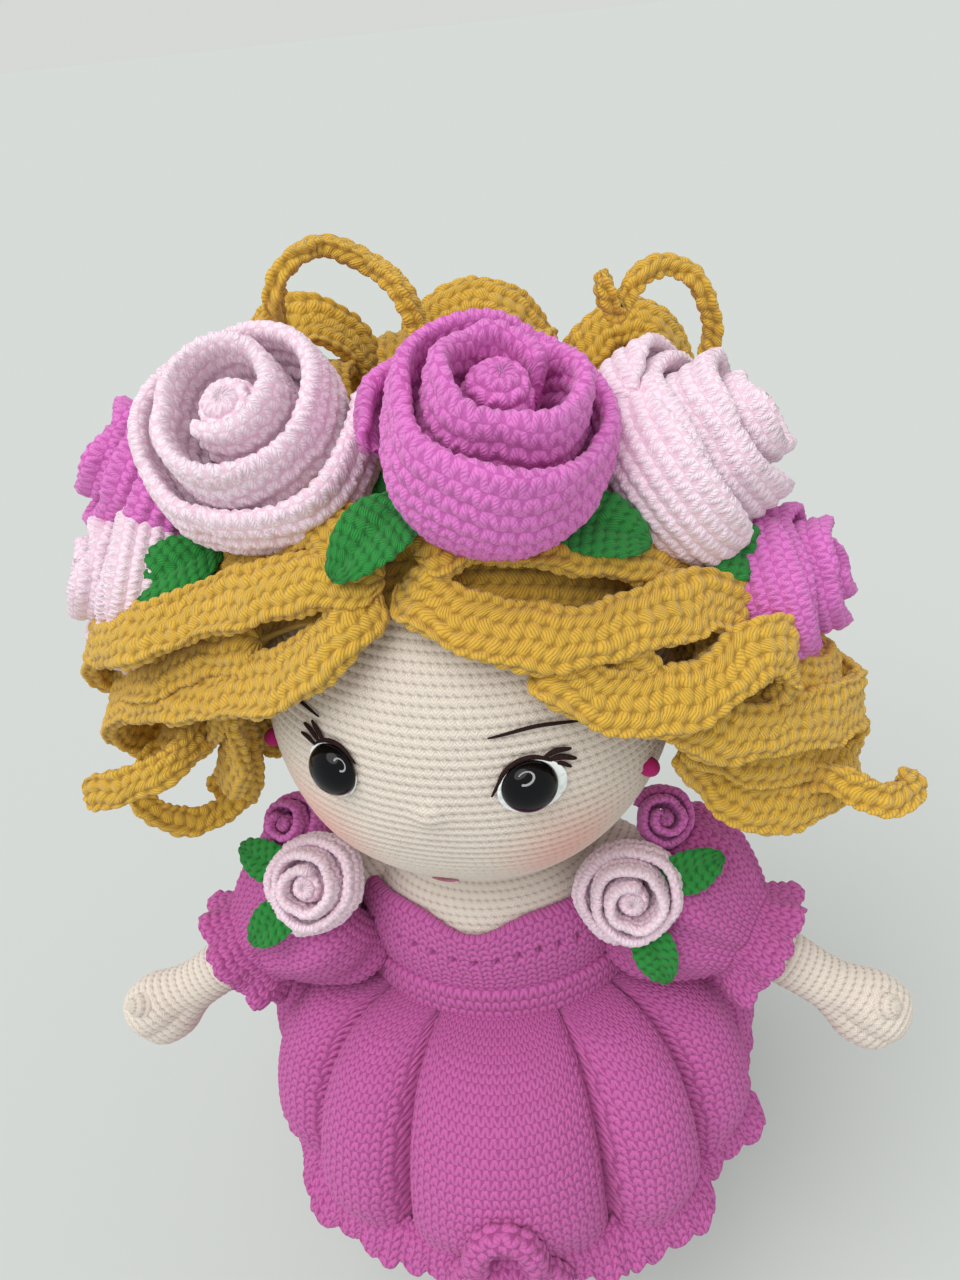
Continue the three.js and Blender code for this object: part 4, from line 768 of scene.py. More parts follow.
def sleeve(arm):
    """A puffed sleeve: rows of stitches round the arm, gathered into soft folds that fade
    towards its seam."""
    outline = [(0.02, 0.62), (0.1, 0.86), (0.28, 1.0), (0.52, 1.0), (0.78, 0.84), (1.0, 0.64)]
    reach = SLEEVE_END - SLEEVE_START
    loop = wall([(SLEEVE_START + d * reach, r * SLEEVE_RADIUS) for d, r in outline], FABRIC, 76)
    count = 66
    distance, angle = np.broadcast_arrays(loop[None, :, 0], full_turn(count * 3)[:, None])
    share = (distance - SLEEVE_START) / reach
    fold = 0.05 * np.cos(8 * angle) + 0.025 * np.cos(13 * angle + 1.0)
    points = arm.place(distance, angle, loop[None, :, 1] * (1 + fold * smooth(share / 0.3 + 0.2)))
    row = lengths_along(loop)[None] / DRESS_ROW
    stitch = angle / (2 * np.pi) * count
    piece = dress_piece(f"{arm.name}_sleeve", points, dress_relief(stitch, row), stitch, row, arm.body)


def cuff(arm):
    """A thick ruffle at the sleeve's end: its radius waves more and more towards its edge,
    which ends in small rounded shells."""
    start, wave_height = 0.64 * SLEEVE_RADIUS - 1.5 * MM, 1.6 * MM
    outline = [
        (SLEEVE_END - 2.5 * MM, start),
        (SLEEVE_END + 2 * MM, start + 0.6 * MM),
        (SLEEVE_END + CUFF_LENGTH, start + 3.4 * MM),
    ]
    loop = wall(outline, FABRIC, 34)
    count = 48
    distance, angle = np.broadcast_arrays(loop[None, :, 0], full_turn(count * 4)[:, None])
    share = np.clip((distance - SLEEVE_END) / CUFF_LENGTH, 0, 1)
    wave = np.cos(7 * angle + 0.8 * np.sin(3 * angle))
    scallop = share * wave_height * (np.abs(np.sin(8 * angle)) ** 0.6 - 0.5)
    points = arm.place(distance + scallop, angle, loop[None, :, 1] + share * wave_height * wave)
    row = lengths_along(loop)[None] / DRESS_ROW
    stitch = angle / (2 * np.pi) * count
    relief = 0.9 * MM * (cluster_relief(stitch, row) - 0.6)
    piece = dress_piece(f"{arm.name}_cuff", points, relief, stitch, row, arm.body)


# Roses and leaves


class Rose:
    """A rolled rose's place, sizes and yarn. Its stitches follow its breadth."""

    def __init__(self, centre, facing, diameter, height, finish, body):
        self.centre, self.facing = centre, unit(np.asarray(facing, float))
        self.side = unit(np.cross([0.0, 0.3, 1.0], self.facing))
        self.up = np.cross(self.facing, self.side)
        self.diameter, self.half, self.height = diameter, diameter / 2, height
        self.finish, self.body = finish, body
        self.share = diameter / ROSE_DIAMETER
        self.step = 0.95 * MM * max(0.7, self.share)
        self.steps = max(14, int(height / self.step))
        self.row = ROSE_ROW * max(0.72, self.share)

    def petals(self, name, angle, base, rim, thickness, fade, replaces=()):
        """A strip of petals round the rose's axis, from its base outline of radius and height
        to its rim: each line of the grid goes up the strip's outside, over its rim and back.
        The rim is a thicker cord, whose strands slant."""
        w = np.linspace(0, 1, self.steps)
        lean = np.sin(w * 1.9) / np.sin(1.9)
        middle_line = base[:, None] + (rim - base)[:, None] * np.stack([lean, w**1.2], axis=-1)
        slope = np.gradient(middle_line, axis=1)
        across = unit(np.stack([slope[..., 1], -slope[..., 0]], axis=-1))
        half_thick = (thickness / 2 * (1 - 0.42 * smooth((w - 0.5) / 0.4)))[None, :, None]
        outer, inner = middle_line + across * half_thick, middle_line - across * half_thick
        ahead = unit(outer[:, -1] - outer[:, -2]) * thickness * 0.62
        middle = (outer[:, -1] + inner[:, -1]) / 2
        turn = np.linspace(0, np.pi, 6)[1:-1]
        over = middle[:, None] + ring_of(turn, (outer[:, -1] - middle)[:, None], ahead[:, None])
        section = np.concatenate([outer, over, inner[:, ::-1], outer[:, :1]], axis=1)
        centre_line = section[:, :-1].mean(axis=1, keepdims=True)
        section = centre_line + (section - centre_line) * fade[:, None, None]
        radial = ring_of(angle, self.side, self.up)
        points = self.centre + section[..., :1] * radial[:, None] + section[..., 1:] * self.facing
        around = lengths_along(section, axis=1)
        row = around / self.row
        stitch = lengths_along(points[:, len(w)])[:, None] / (0.85 * self.row)
        beyond_rim = around - around[:, len(w) + 1:len(w) + 2]
        cord = np.exp(-((beyond_rim / (0.6 * self.row)) ** 4))
        strands = np.abs(np.sin(np.pi * (2 * stitch + 0.9 * beyond_rim / self.row))) ** 0.6
        fabric = stitch_relief(stitch, row) - 0.5
        relief = 1.2 * MM * self.share**0.5 * (fabric + (0.75 * strands - 0.1 - fabric) * cord)
        add_piece(name, raised(points, relief), self.finish, self.body, stitch, row, replaces)

    def rolled(self, name, replaces=(), turns=2.45, start=0.0, full=0.125, fall=0.5):
        """One strip of petals wound round the heart. Its rim moves out and down as it winds."""
        wound = np.linspace(0, 1, 2000)
        length = np.cumsum((0.3 + 0.7 * wound) * self.half) * 2 * np.pi * turns / len(wound)
        share = np.interp(np.arange(0, length[-1], self.step), length, wound)
        angle = start + 2 * np.pi * turns * share
        reach = 0.3 + 0.7 * share
        lobe = np.abs(np.sin(1.25 * angle + 0.7)) ** 0.7
        out = 1 + (0.1 * lobe - 0.05 + 0.02 * np.sin(5.3 * angle)) * smooth(share / 0.2)
        crest = (0.07 * lobe + 0.02 * np.sin(4.1 * angle + 1)) * smooth(share / 0.15)
        rim = np.stack([self.half * reach * out, self.height * (0.43 - fall * share**1.7 + crest)], axis=1)
        base = np.stack([self.half * (0.06 + 0.6 * reach), -0.5 * self.height + 0 * share], axis=1)
        fade = np.clip(np.minimum(share / 0.012, (1 - share) / 0.02), 0.25, 1)
        self.petals(name, angle, base, rim, full * self.diameter, fade, replaces)

    def outer_petals(self, name, start):
        """Three rounded petals wrapped round the outside. Each one's rim follows a flattened
        half circle, and one of its edges lies over the next petal."""
        along = np.linspace(-1, 1, int(2.4 * self.half / self.step))
        outline = np.clip(1 - np.abs(along) ** 2.6, 0, 1) ** 0.5
        foot = self.half * (0.76 + 0.06 * along)
        base = np.stack([foot, -0.5 * self.height + 0 * along], axis=1)
        fade = np.clip(0.3 + outline * 1.2, 0, 1)
        for i in range(3):
            angle = start + 2 * np.pi * i / 3 + along * np.radians(72)
            top = self.height * (-0.42 + (0.54 - 0.06 * i) * outline)
            rim = np.stack([foot + self.half * 0.36 * outline, top], axis=1)
            self.petals(f"{name}_{i + 1}", angle, base, rim, 0.1 * self.diameter, fade)

    def bud(self, name):
        """The rose's heart: a small rounded cone of stitches wound in a spiral."""
        share = np.linspace(0.02, 1, 36)
        angle = full_turn(52)
        radius = 0.145 * self.diameter * np.sin(share * np.pi / 2) ** 0.7
        level = self.height * (0.5 - 0.5 * share**2.4)
        ring = ring_of(angle, self.side, self.up)
        points = self.centre + radius[:, None, None] * ring + level[:, None, None] * self.facing
        up = lengths_along(np.stack([radius, level], axis=1))[:, None]
        row = up / (0.8 * ROSE_ROW) + angle / (2 * np.pi)
        stitch = angle / (2 * np.pi) * 8
        relief = 0.8 * MM * self.share**0.5 * (stitch_relief(stitch, row) - 0.5)
        add_piece(name, raised(points, relief), self.finish, self.body, stitch, row)


def leaf(name, base, tip, face, width, thickness, body, replaces):
    """A pointed leaf cupped about its middle: its width follows a sine, and rows of stitches
    run out from its rib."""
    along = tip - base
    long = np.linalg.norm(along)
    aside = unit(np.cross(along, face))
    normal = unit(np.cross(aside, along))
    share = np.linspace(0.0, 1, 46)[:, None]
    full = 0.1 + 0.9 * np.sin(np.pi * share**0.85) ** 0.6
    angle = full_turn(56)
    out = np.sign(np.cos(angle)) * np.abs(np.cos(angle)) ** 0.8
    side = np.sin(angle)
    rib = np.exp(-((out / 0.16) ** 2)) * (side > 0)
    across = full * out * width / 2
    arch = 0.1 * long * np.sin(np.pi * share)
    plump = side * thickness / 2 * (0.4 + 0.6 * full)
    lift = arch + plump - 0.35 * thickness * rib * full + 0.1 * width * out**2 * full
    points = base + share[..., None] * along + across[..., None] * aside + lift[..., None] * normal
    row = share * long / (2.4 * MM) - 0.6 * np.abs(out)
    stitch = out * width / 2 / (2.2 * MM)
    relief = 0.6 * MM * (cluster_relief(stitch + 0.25, row) - 0.5)
    add_piece(name, raised(points, relief), LEAF, body, stitch, row, replaces)


# The second rose of each shoulder: millimetres along the arm, degrees forward of its top,
# its breadth and its height in millimetres
BACK_ROSES = {"left": (6, 8, 16, 9), "right": (10, -2, 17, 11)}

# How many degrees each shoulder leaf leans from the arm's own direction, and its size
FRONT_LEAF_LEAN, OUTER_LEAF_LEAN = {"left": -38, "right": -6}, 56
LEAF_LENGTH, LEAF_WIDTH, LEAF_THICKNESS, LEAF_LIFT = 17 * MM, 11 * MM, 3 * MM, 1.2 * MM


def arm_flowers(arm):
    """A small rose on the front of the sleeve with one leaf in front of it and one on its
    outer side, and a smaller rose behind it."""
    name, sleeve_top = arm.name, 0.86 * SLEEVE_RADIUS
    outward = ring_of(arm.rose_around, arm.up, arm.front)
    centre = arm.shoulder + arm.rose_along * arm.along + outward * (sleeve_top + SHOULDER_ROSE_HEIGHT / 2)
    rose = Rose(centre, outward, SHOULDER_ROSE_DIAMETER, SHOULDER_ROSE_HEIGHT * 1.1, PALE_ROSE, arm.body)
    rose.rolled(f"{name}_shoulder_rose_petals", [f"{name}_shoulder_rose"],
                turns=2.6, start=1.0, full=0.15, fall=0.72)
    rose.bud(f"{name}_shoulder_rose_bud")
    along, degrees, wide, high = BACK_ROSES[name]
    turned_up = ring_of(np.radians(degrees), arm.up, arm.front)
    behind = arm.shoulder + along * MM * arm.along + turned_up * (sleeve_top + high / 2 * MM)
    rose = Rose(behind, turned_up + 0.7 * arm.front, wide * MM, high * MM, MAGENTA_ROSE, arm.body)
    rose.rolled(f"{name}_back_rose_petals", turns=2.1, start=2.0, full=0.17, fall=0.7)
    rose.bud(f"{name}_back_rose_bud")
    root = centre + outward * (LEAF_LIFT - SHOULDER_ROSE_HEIGHT / 3)
    tangent = arm.side * unit(np.cross(outward, arm.along))
    for place, node, lean in (("front", "upper", FRONT_LEAF_LEAN[name]), ("outer", "lower", OUTER_LEAF_LEAN)):
        way = ring_of(np.radians(lean), arm.along, tangent)
        base = root + 0.28 * SHOULDER_ROSE_DIAMETER * way
        leaf(f"{name}_leaf_{place}", base, base + LEAF_LENGTH * way, outward, LEAF_WIDTH, LEAF_THICKNESS,
             arm.body, [f"{name}_shoulder_leaf_{node}"])


for one_arm in ARMS:
    arm_yarn(one_arm)
    thumb(one_arm)
    sleeve(one_arm)
    cuff(one_arm)
    arm_flowers(one_arm)


# Dress


def neckline(angle):
    """Height of the sweetheart neckline: dipped at the middle of the chest and low at the back."""
    front = np.arctan2(np.cos(angle) + 4 * MM / TORSO_RADIUS, -np.sin(angle))
    return BODICE_TOP - 5 * MM * np.exp(-((front / 0.28) ** 2)) - 9 * MM * np.sin(front / 2) ** 4


def round_torso(radius, angle, height):
    """Points round the torso, which is broader than deep."""
    return grid_of(TORSO_BROAD * radius * np.cos(angle), radius * np.sin(angle), height)


def bodice():
    """The bodice's wall round the chest, with a row of eyelets below the neckline."""
    count, rows, depth_share = 86, 9, 0.13
    angle = full_turn(count * 4)[:, None]
    bottom = WAIST_HEIGHT + WAISTBAND_HEIGHT + CLEARANCE
    loop = wall([(0.0, 0.0), (0.5, 0.0), (1.0, 0.0)], depth_share, 40)
    share, depth = loop[None, :, 0], -loop[None, :, 1] / depth_share
    height = bottom + share * (neckline(angle) - bottom)
    chest = torso_radius(np.clip(height, TORSO_BOTTOM, TORSO_TOP)) + 0.4 * MM
    radius = chest + FABRIC * (1 - np.clip(depth, 0, 1))
    row = share * rows
    stitch = angle / (2 * np.pi) * count
    in_row = np.exp(-(((row - 5.5) / 0.55) ** 4))
    eyelet = np.exp(-((np.abs(np.mod(stitch * 0.5, 1) - 0.5) / 0.13) ** 2)) * in_row
    relief = dress_relief(stitch, row) - 2.2 * MM * eyelet
    piece = dress_piece("bodice", round_torso(radius, angle, height), relief, stitch, row)


def waistband():
    """A band of three rows of stitches between two grooves."""
    count = 100
    angle = full_turn(count * 4)[:, None]
    inner = torso_radius(WAIST_HEIGHT + WAISTBAND_HEIGHT) + 1.0 * MM
    outline = np.array([(0.2, 0), (1.4, 0.7), (6, 0.9), (10.6, 0.7), (11.8, 0)]) * MM
    loop = wall(outline, FABRIC, 28)
    points = round_torso(inner + FABRIC + loop[None, :, 1], angle, WAIST_HEIGHT + loop[None, :, 0])
    row = loop[None, :, 0] / (WAISTBAND_HEIGHT / 3)
    stitch = angle / (2 * np.pi) * count
    piece = dress_piece("waistband", points, dress_relief(stitch, row), stitch, row)


# The front panel's breadth in degrees, the number of narrow pleats, and how far and over how
# many degrees the hem lifts
FRONT_PANEL, NARROW_PLEATS = 50, 12
HEM_LIFT, HEM_LIFT_SPREAD = 9 * MM, 16
WAIST_OUTER = torso_radius(WAIST_HEIGHT) + 3.4 * MM


def pleat_round(degrees):
    """How full a pleat is at an angle from the front: a half circle across each pleat."""
    turn = np.mod(degrees + FRONT_PANEL / 2, 360)
    narrow = (360 - FRONT_PANEL) / NARROW_PLEATS
    across = np.where(turn < FRONT_PANEL, turn / FRONT_PANEL, np.mod((turn - FRONT_PANEL) / narrow, 1))
    return np.sqrt(np.clip(1 - (2 * across - 1) ** 2, 0, 1))


def hem_lift(degrees):
    """The hem curls up in the middle of the front."""
    front = np.mod(degrees + 180, 360) - 180
    return HEM_LIFT * np.exp(-((front / HEM_LIFT_SPREAD) ** 2))


def skirt_outline(degrees, share):
    """Radius, height and breadth of the skirt: a quarter ellipse from waist to hem, puffed at
    each pleat, and drawn in a little just above the hem."""
    top = WAIST_HEIGHT + 1.6 * MM
    drop = top - SKIRT_HEM - hem_lift(degrees)
    bell = np.sin(share * np.pi / 2)
    fullness = pleat_round(degrees)
    puff = PLEAT_DEPTH * (1.5 * fullness - 0.6 - 0.7 * (1 - fullness) ** 3)
    puff = puff * smooth(share / 0.16 + 0.1) * (1 - 0.4 * smooth((share - 0.82) / 0.18))
    radius = WAIST_OUTER + (SKIRT_RADIUS - WAIST_OUTER) * bell + puff
    height = top - drop * (1 - np.cos(share * np.pi / 2))
    return radius, height, TORSO_BROAD + (1 - TORSO_BROAD) * bell + 0 * radius


def from_front(degrees, radius, height, broad=1.0):
    """Points at some degrees from the front, about the doll's axis."""
    turn = np.radians(degrees)
    return grid_of(broad * radius * np.sin(turn), -radius * np.cos(turn), height)


def skirt():
    """The pleated bell: rows of stitches run round it, and its wall is one stitch thick."""
    count = 190
    degrees = np.linspace(0, 360, count * 3 + 1)[:, None]
    outer_share = np.linspace(0, 1, 108)[None]
    inner_share = np.linspace(1, 0, 12)[None]
    r_out, z_out, b_out = skirt_outline(degrees, outer_share)
    r_in, z_in, b_in = skirt_outline(degrees, inner_share)
    radius = np.concatenate([r_out, r_in - FABRIC, r_out[:, :1]], axis=1)
    height = np.concatenate([z_out, z_in - 1.5 * MM * (1 - inner_share), z_out[:, :1]], axis=1)
    broad = np.concatenate([b_out, b_in, b_out[:, :1]], axis=1)
    points = from_front(degrees, radius, height, broad)
    row = lengths_along(points, axis=1)[:1] / DRESS_ROW
    stitch = degrees / 360 * count
    outside = np.concatenate([np.ones(outer_share.size), np.zeros(inner_share.size), [1]])
    return dress_piece("skirt", points, dress_relief(stitch, row) * outside, stitch, row)


def hem_frill():
    """A thick frill of small rounded shells below the hem. It follows the pleats in and out,
    and rises a little where two pleats meet."""
    shells = 62
    degrees = np.linspace(0, 360, shells * 10 + 1)[:, None]
    turn = np.radians(degrees)
    down = np.linspace(0, 1, 20)
    fold = np.linspace(0, np.pi, 8)[1:-1]
    drop = np.concatenate([down, 1 + 0.12 * np.sin(fold), down[::-1], -0.12 * np.sin(fold), [0]])[None]
    side = np.concatenate([np.ones(20), np.cos(fold), -np.ones(20), -np.cos(fold), [1]])[None]
    fullness = pleat_round(degrees)
    ruffle = 1.8 * MM * np.cos(15 * turn + 0.5) + 1.2 * MM * np.cos(9 * turn + 1)
    shell = np.abs(np.sin(shells / 2 * turn + 0.4)) ** 0.6
    radius = SKIRT_RADIUS + (4.5 * fullness - 1.5) * MM + drop * (4.5 * MM + 1.3 * ruffle)
    radius = radius + 1.5 * MM * side * (0.6 + 0.6 * shell)
    length = FRILL_HEIGHT - 3.4 * MM + 4 * MM * shell
    height = SKIRT_HEM + hem_lift(degrees) + 2.5 * MM * (1 - fullness) ** 2 + 1.5 * MM - drop * length
    points = from_front(degrees, radius, height)
    row = lengths_along(points, axis=1)[:1] / (2.8 * MM)
    stitch = degrees / 360 * shells * 3
    return dress_piece("hem_frill", points, 1.0 * MM * (cluster_relief(stitch, row) - 0.5), stitch, row)


# The hem's curl, in millimetres along the hem and up the skirt
HEM_CURL = [(-13, -5), (-10, 0), (-7, 4), (-6.6, 11), (-4.4, 16.5), (0, 19),
            (4.4, 16.5), (6.6, 11), (7, 4), (10, 0), (13, -5)]


def hem_curl():
    """The frill's curl at the middle of the front: a thick strip bent up into a loop that lies
    on the skirt, with a small opening in its middle."""
    line = curve_through(HEM_CURL, 180)
    degrees = np.degrees(line[:, 0] * MM / SKIRT_RADIUS)
    radius, height, broad = skirt_outline(degrees, np.clip(1 - line[:, 1] / 73, 0, 1))
    below_hem = np.minimum(line[:, 1], 0) * MM
    centre = from_front(degrees, radius + 2.2 * MM, height + below_hem, broad)
    beside = lengths_along(line * MM) / (3.6 * MM)
    points = tube(centre, 3 * MM * (1 + 0.2 * np.abs(np.sin(np.pi * beside))), 32)
    row = np.linspace(0, 6, 33)[None]
    stitch = beside[:, None] * 1.3
    points = raised(points, 0.9 * MM * (cluster_relief(stitch, row) - 0.5))
    return add_piece("hem_frill_curl", points, DRESS, "body", stitch, row)


bodice()
waistband()
skirt()
hem_frill()
hem_curl()


# Garland


def from_shares(shares):
    """A place in shares of the head's radius about its centre."""
    return HEAD_CENTRE + np.asarray(shares, float) * HEAD_RADIUS


# Roses: place, facing, breadth and height as shares of a rose's breadth, yarn, the angle
# where the strip starts, and whether outer petals wrap it
GARLAND = [
    ("right_low", (-1.54, 0.0, 0.64), (-0.9, -0.2, 0.38), 0.74, 0.5, PALE_ROSE, 0.4, True),
    ("right_mid", (-1.44, 0.34, 1.02), (-0.82, -0.1, 0.55), 0.86, 0.54, MAGENTA_ROSE, 2.0, True),
    ("right_high", (-0.78, -0.14, 1.37), (-0.12, -0.6, 0.78), 0.99, 0.56, PALE_ROSE, 4.0, False),
    ("centre", (0.23, -0.47, 1.42), (0.22, -0.36, 0.9), 1.0, 0.6, MAGENTA_ROSE, 0.0, False),
    ("left_high", (1.06, -0.03, 1.12), (0.8, -0.06, 0.6), 0.86, 0.6, PALE_ROSE, 1.2, True),
    ("left_mid", (1.44, -0.1, 0.5), (0.94, -0.1, 0.33), 0.72, 0.5, MAGENTA_ROSE, 3.0, True),
]
# Leaves: base, tip and facing
CROWN_LEAVES = [
    ("right_low", (-1.02, -0.2, 0.88), (-1.42, -0.36, 0.72), (-0.3, -0.75, 0.6)),
    ("right_high", (-0.08, -0.49, 1.17), (-0.4, -0.76, 1.0), (-0.1, -0.7, 0.7)),
    ("left_high", (0.42, -0.42, 1.05), (0.82, -0.52, 0.94), (0.2, -0.7, 0.7)),
    ("left_low", (1.0, -0.26, 0.87), (1.32, -0.36, 0.68), (0.5, -0.7, 0.5)),
]
BAND_RADIUS = 2.6 * MM
CROWN_LEAF_WIDTH, CROWN_LEAF_THICKNESS = 14 * MM, 3.4 * MM


def garland():
    """Six rolled roses on a green crocheted band, with four leaves in front of it."""
    band = [from_shares((-1.15, 0.1, 0.18))]
    for name, place, facing, wide, high, finish, start, wrapped in GARLAND:
        diameter, height = wide * ROSE_DIAMETER, high * ROSE_DIAMETER
        rose = Rose(from_shares(place), facing, diameter, height, finish, "crown_body")
        rose.rolled(f"rose_{name}_petals", [f"crown_rose_{name}"], start=start)
        rose.bud(f"rose_{name}_bud")
        if wrapped:
            rose.outer_petals(f"rose_{name}_outer_petal", start)
        band.append(rose.centre - rose.facing * (0.49 * height + BAND_RADIUS + CLEARANCE))
    band.append(from_shares((1.14, 0.05, 0.12)))
    centre = curve_through(band, 240)
    row = lengths_along(centre)[:, None] / (2.4 * MM)
    stitch = np.linspace(0, 6, 25)[None]
    points = raised(tube(centre, BAND_RADIUS, 24), 0.5 * MM * (cluster_relief(stitch, row) - 0.5))
    add_piece("crown_band_yarn", points, LEAF, "crown_body", stitch, row, ["crown_band"])
    for name, base, tip, face in CROWN_LEAVES:
        leaf(f"crown_leaf_{name}_yarn", from_shares(base), from_shares(tip), face, CROWN_LEAF_WIDTH,
             CROWN_LEAF_THICKNESS, "crown_body", [f"crown_leaf_{name}"])


garland()


# Hair


def flat_strip(centre, across, width, thickness, rounded=0.06, columns=42):
    """A flat strip with thick edges and rounded ends along a curve, and its stitches and rows,
    which wander. Its breadth swells and shrinks a little along its way."""
    along = unit(np.gradient(centre, axis=0))
    across = square_to(along, across)
    normal = np.cross(along, across)
    share = np.linspace(0, 1, len(centre))[:, None]
    end = np.sqrt(np.clip(1 - (1 - np.minimum(share, 1 - share) / rounded).clip(0, 1) ** 2, 0.02, 1))
    angle = full_turn(columns)
    wide = np.sign(np.cos(angle)) * np.abs(np.cos(angle)) ** 0.8 * width / 2
    thick = np.sign(np.sin(angle)) * np.abs(np.sin(angle)) ** 0.8 * thickness / 2
    thick = thick * (0.78 + 0.4 * np.abs(np.cos(angle)) ** 3)
    travelled = lengths_along(centre)[:, None]
    swell = end * (1 + 0.07 * np.sin(travelled / (5 * MM) + 2) + 0.05 * np.sin(travelled / (2.3 * MM)))
    cup = 0.1 * width * np.sin(travelled / (9 * MM)) * (np.cos(angle) ** 2 - 0.5) * end
    points = centre[:, None] + (swell * wide)[..., None] * across[:, None]
    points = points + (end * thick + cup)[..., None] * normal[:, None]
    perimeter = lengths_along(np.stack([wide, thick], axis=1))
    rows = max(4, 2 * round(perimeter[-1] / HAIR_ROW / 2))
    row = perimeter / perimeter[-1] * rows
    wander = 0.22 * np.sin(2 * np.pi * row / rows * 3 + 0.6 * travelled / HAIR_ROW)
    stitch = travelled / (0.95 * HAIR_ROW) + wander
    row = row + 0.2 * np.sin(0.8 * stitch) + 0.13 * np.sin(1.9 * stitch + 1)
    return raised(points, 1.3 * MM * (cluster_relief(stitch, row) - 0.7)), stitch, row


def lock(name, shares, root_broad, tip_broad, width_share, replaces=()):
    """A strip of hair along a curve that stays clear of the cap. It is a little finer where it
    takes the place of a solid. Its breadth turns from one direction to another."""
    count = (28 if replaces else 22) * len(shares)
    centre = curve_through(np.array(shares) * HEAD_RADIUS, count)
    rest = CAP_RADIUS + CAP_THICKNESS + CLEARANCE + LOCK_THICKNESS / 2
    distance = np.linalg.norm(centre, axis=1)
    lifted = (distance + rest + np.hypot(distance - rest, 2 * MM)) / 2
    from_end = np.minimum(np.arange(count), count - 1 - np.arange(count))
    free = smooth(from_end / (0.08 * count))
    centre = centre * ((distance + (lifted - distance) * free) / distance)[:, None]
    share = np.linspace(0, 1, count)[:, None]
    across = unit(np.array(root_broad, float)) * (1 - share) + unit(np.array(tip_broad, float)) * share
    points, stitch, row = flat_strip(HEAD_CENTRE + centre, across, width_share * LOCK_WIDTH, LOCK_THICKNESS)
    add_piece(f"{name}_yarn", points, HAIR, "head_body", stitch, row, replaces)


def hair_cap():
    """The crocheted cap under the locks: a dished shell tilted over the crown and the back."""
    tilt, reach = np.radians([42.5, 82.5])
    axis = np.array([0, np.sin(tilt), np.cos(tilt)])
    side = np.array([1.0, 0, 0])
    angle = full_turn(220)
    down = np.linspace(0.04, 1, 66)
    back = np.linspace(1, 0.04, 10)
    radius = np.concatenate([np.full(down.size, CAP_RADIUS + CAP_THICKNESS), np.full(back.size, CAP_RADIUS)])
    polar = (np.concatenate([down, back]) * reach)[:, None]
    out = ring_of(polar, axis, ring_of(angle, side, np.cross(axis, side)))
    points = HEAD_CENTRE + out * radius[:, None, None]
    row = polar * CAP_RADIUS / HAIR_ROW
    stitch = angle / (2 * np.pi) * 100
    outside = np.concatenate([np.ones(down.size), np.zeros(back.size)])[:, None]
    points = raised(points, outside * 0.7 * MM * (stitch_relief(stitch, row) - 0.6))
    add_piece("hair_cap_yarn", points, HAIR, "head_body", stitch, row, ["hair_cap"])


# Back rows: latitude, spread to each side, number of ringlets, and how many degrees they fall
BACK_ROWS = [("upper", 33, 60, 4, 25), ("lower", 2, 72, 6, 34)]
# Ringlets: how many degrees their line swings aside, and the sizes of the wound strip
RINGLET_SWING, RINGLET_RADIUS, RINGLET_WIDTH, RINGLET_THICKNESS = 4, 4.3 * MM, 7.5 * MM, 3.6 * MM


def from_back(azimuth, latitude, distance):
    """Points about the head's centre at some degrees from the back and up."""
    out = direction(np.radians(azimuth), np.radians(latitude)) * np.array([1, -1, 1])
    return HEAD_CENTRE + out * distance


def back_rows():
    """Two strips sewn along the back of the cap, with ringlets hanging from them: each ringlet
    is a strip wound round its own hanging line."""
    rest = CAP_RADIUS + CAP_THICKNESS + CLEARANCE
    share = np.linspace(0, 1, 190)
    for name, latitude, spread, curls, fall in BACK_ROWS:
        node = f"lock_back_{name}_row"
        centre = from_back(np.linspace(-spread, spread, 200), latitude, rest + 0.62 * LOCK_THICKNESS)
        points, stitch, row = flat_strip(centre, np.array([0.0, 0.0, 1.0]), 0.6 * LOCK_WIDTH, LOCK_THICKNESS)
        add_piece(f"{node}_strip", points, HAIR, "head_body", stitch, row, [node])
        for i in range(curls):
            azimuth = 0.88 * spread * (2 * i / (curls - 1) - 1) + RINGLET_SWING * np.sin(2 * np.pi * share)
            hang = from_back(azimuth, latitude - fall * share, rest + LOCK_WIDTH / 2)
            way = unit(np.gradient(hang, axis=0))
            out = square_to(way, unit(hang - HEAD_CENTRE))
            angle = 2 * np.pi * (0.9 + 0.11 * fall) * share + i
            round_it = ring_of(angle, out, np.cross(way, out))
            reach = RINGLET_RADIUS * smooth(share / 0.15)[:, None]
            points, stitch, row = flat_strip(
                hang + reach * round_it, way, RINGLET_WIDTH, RINGLET_THICKNESS, rounded=0.03, columns=36)
            add_piece(f"{node}_curl_{i + 1}", points, HAIR, "head_body", stitch, row)


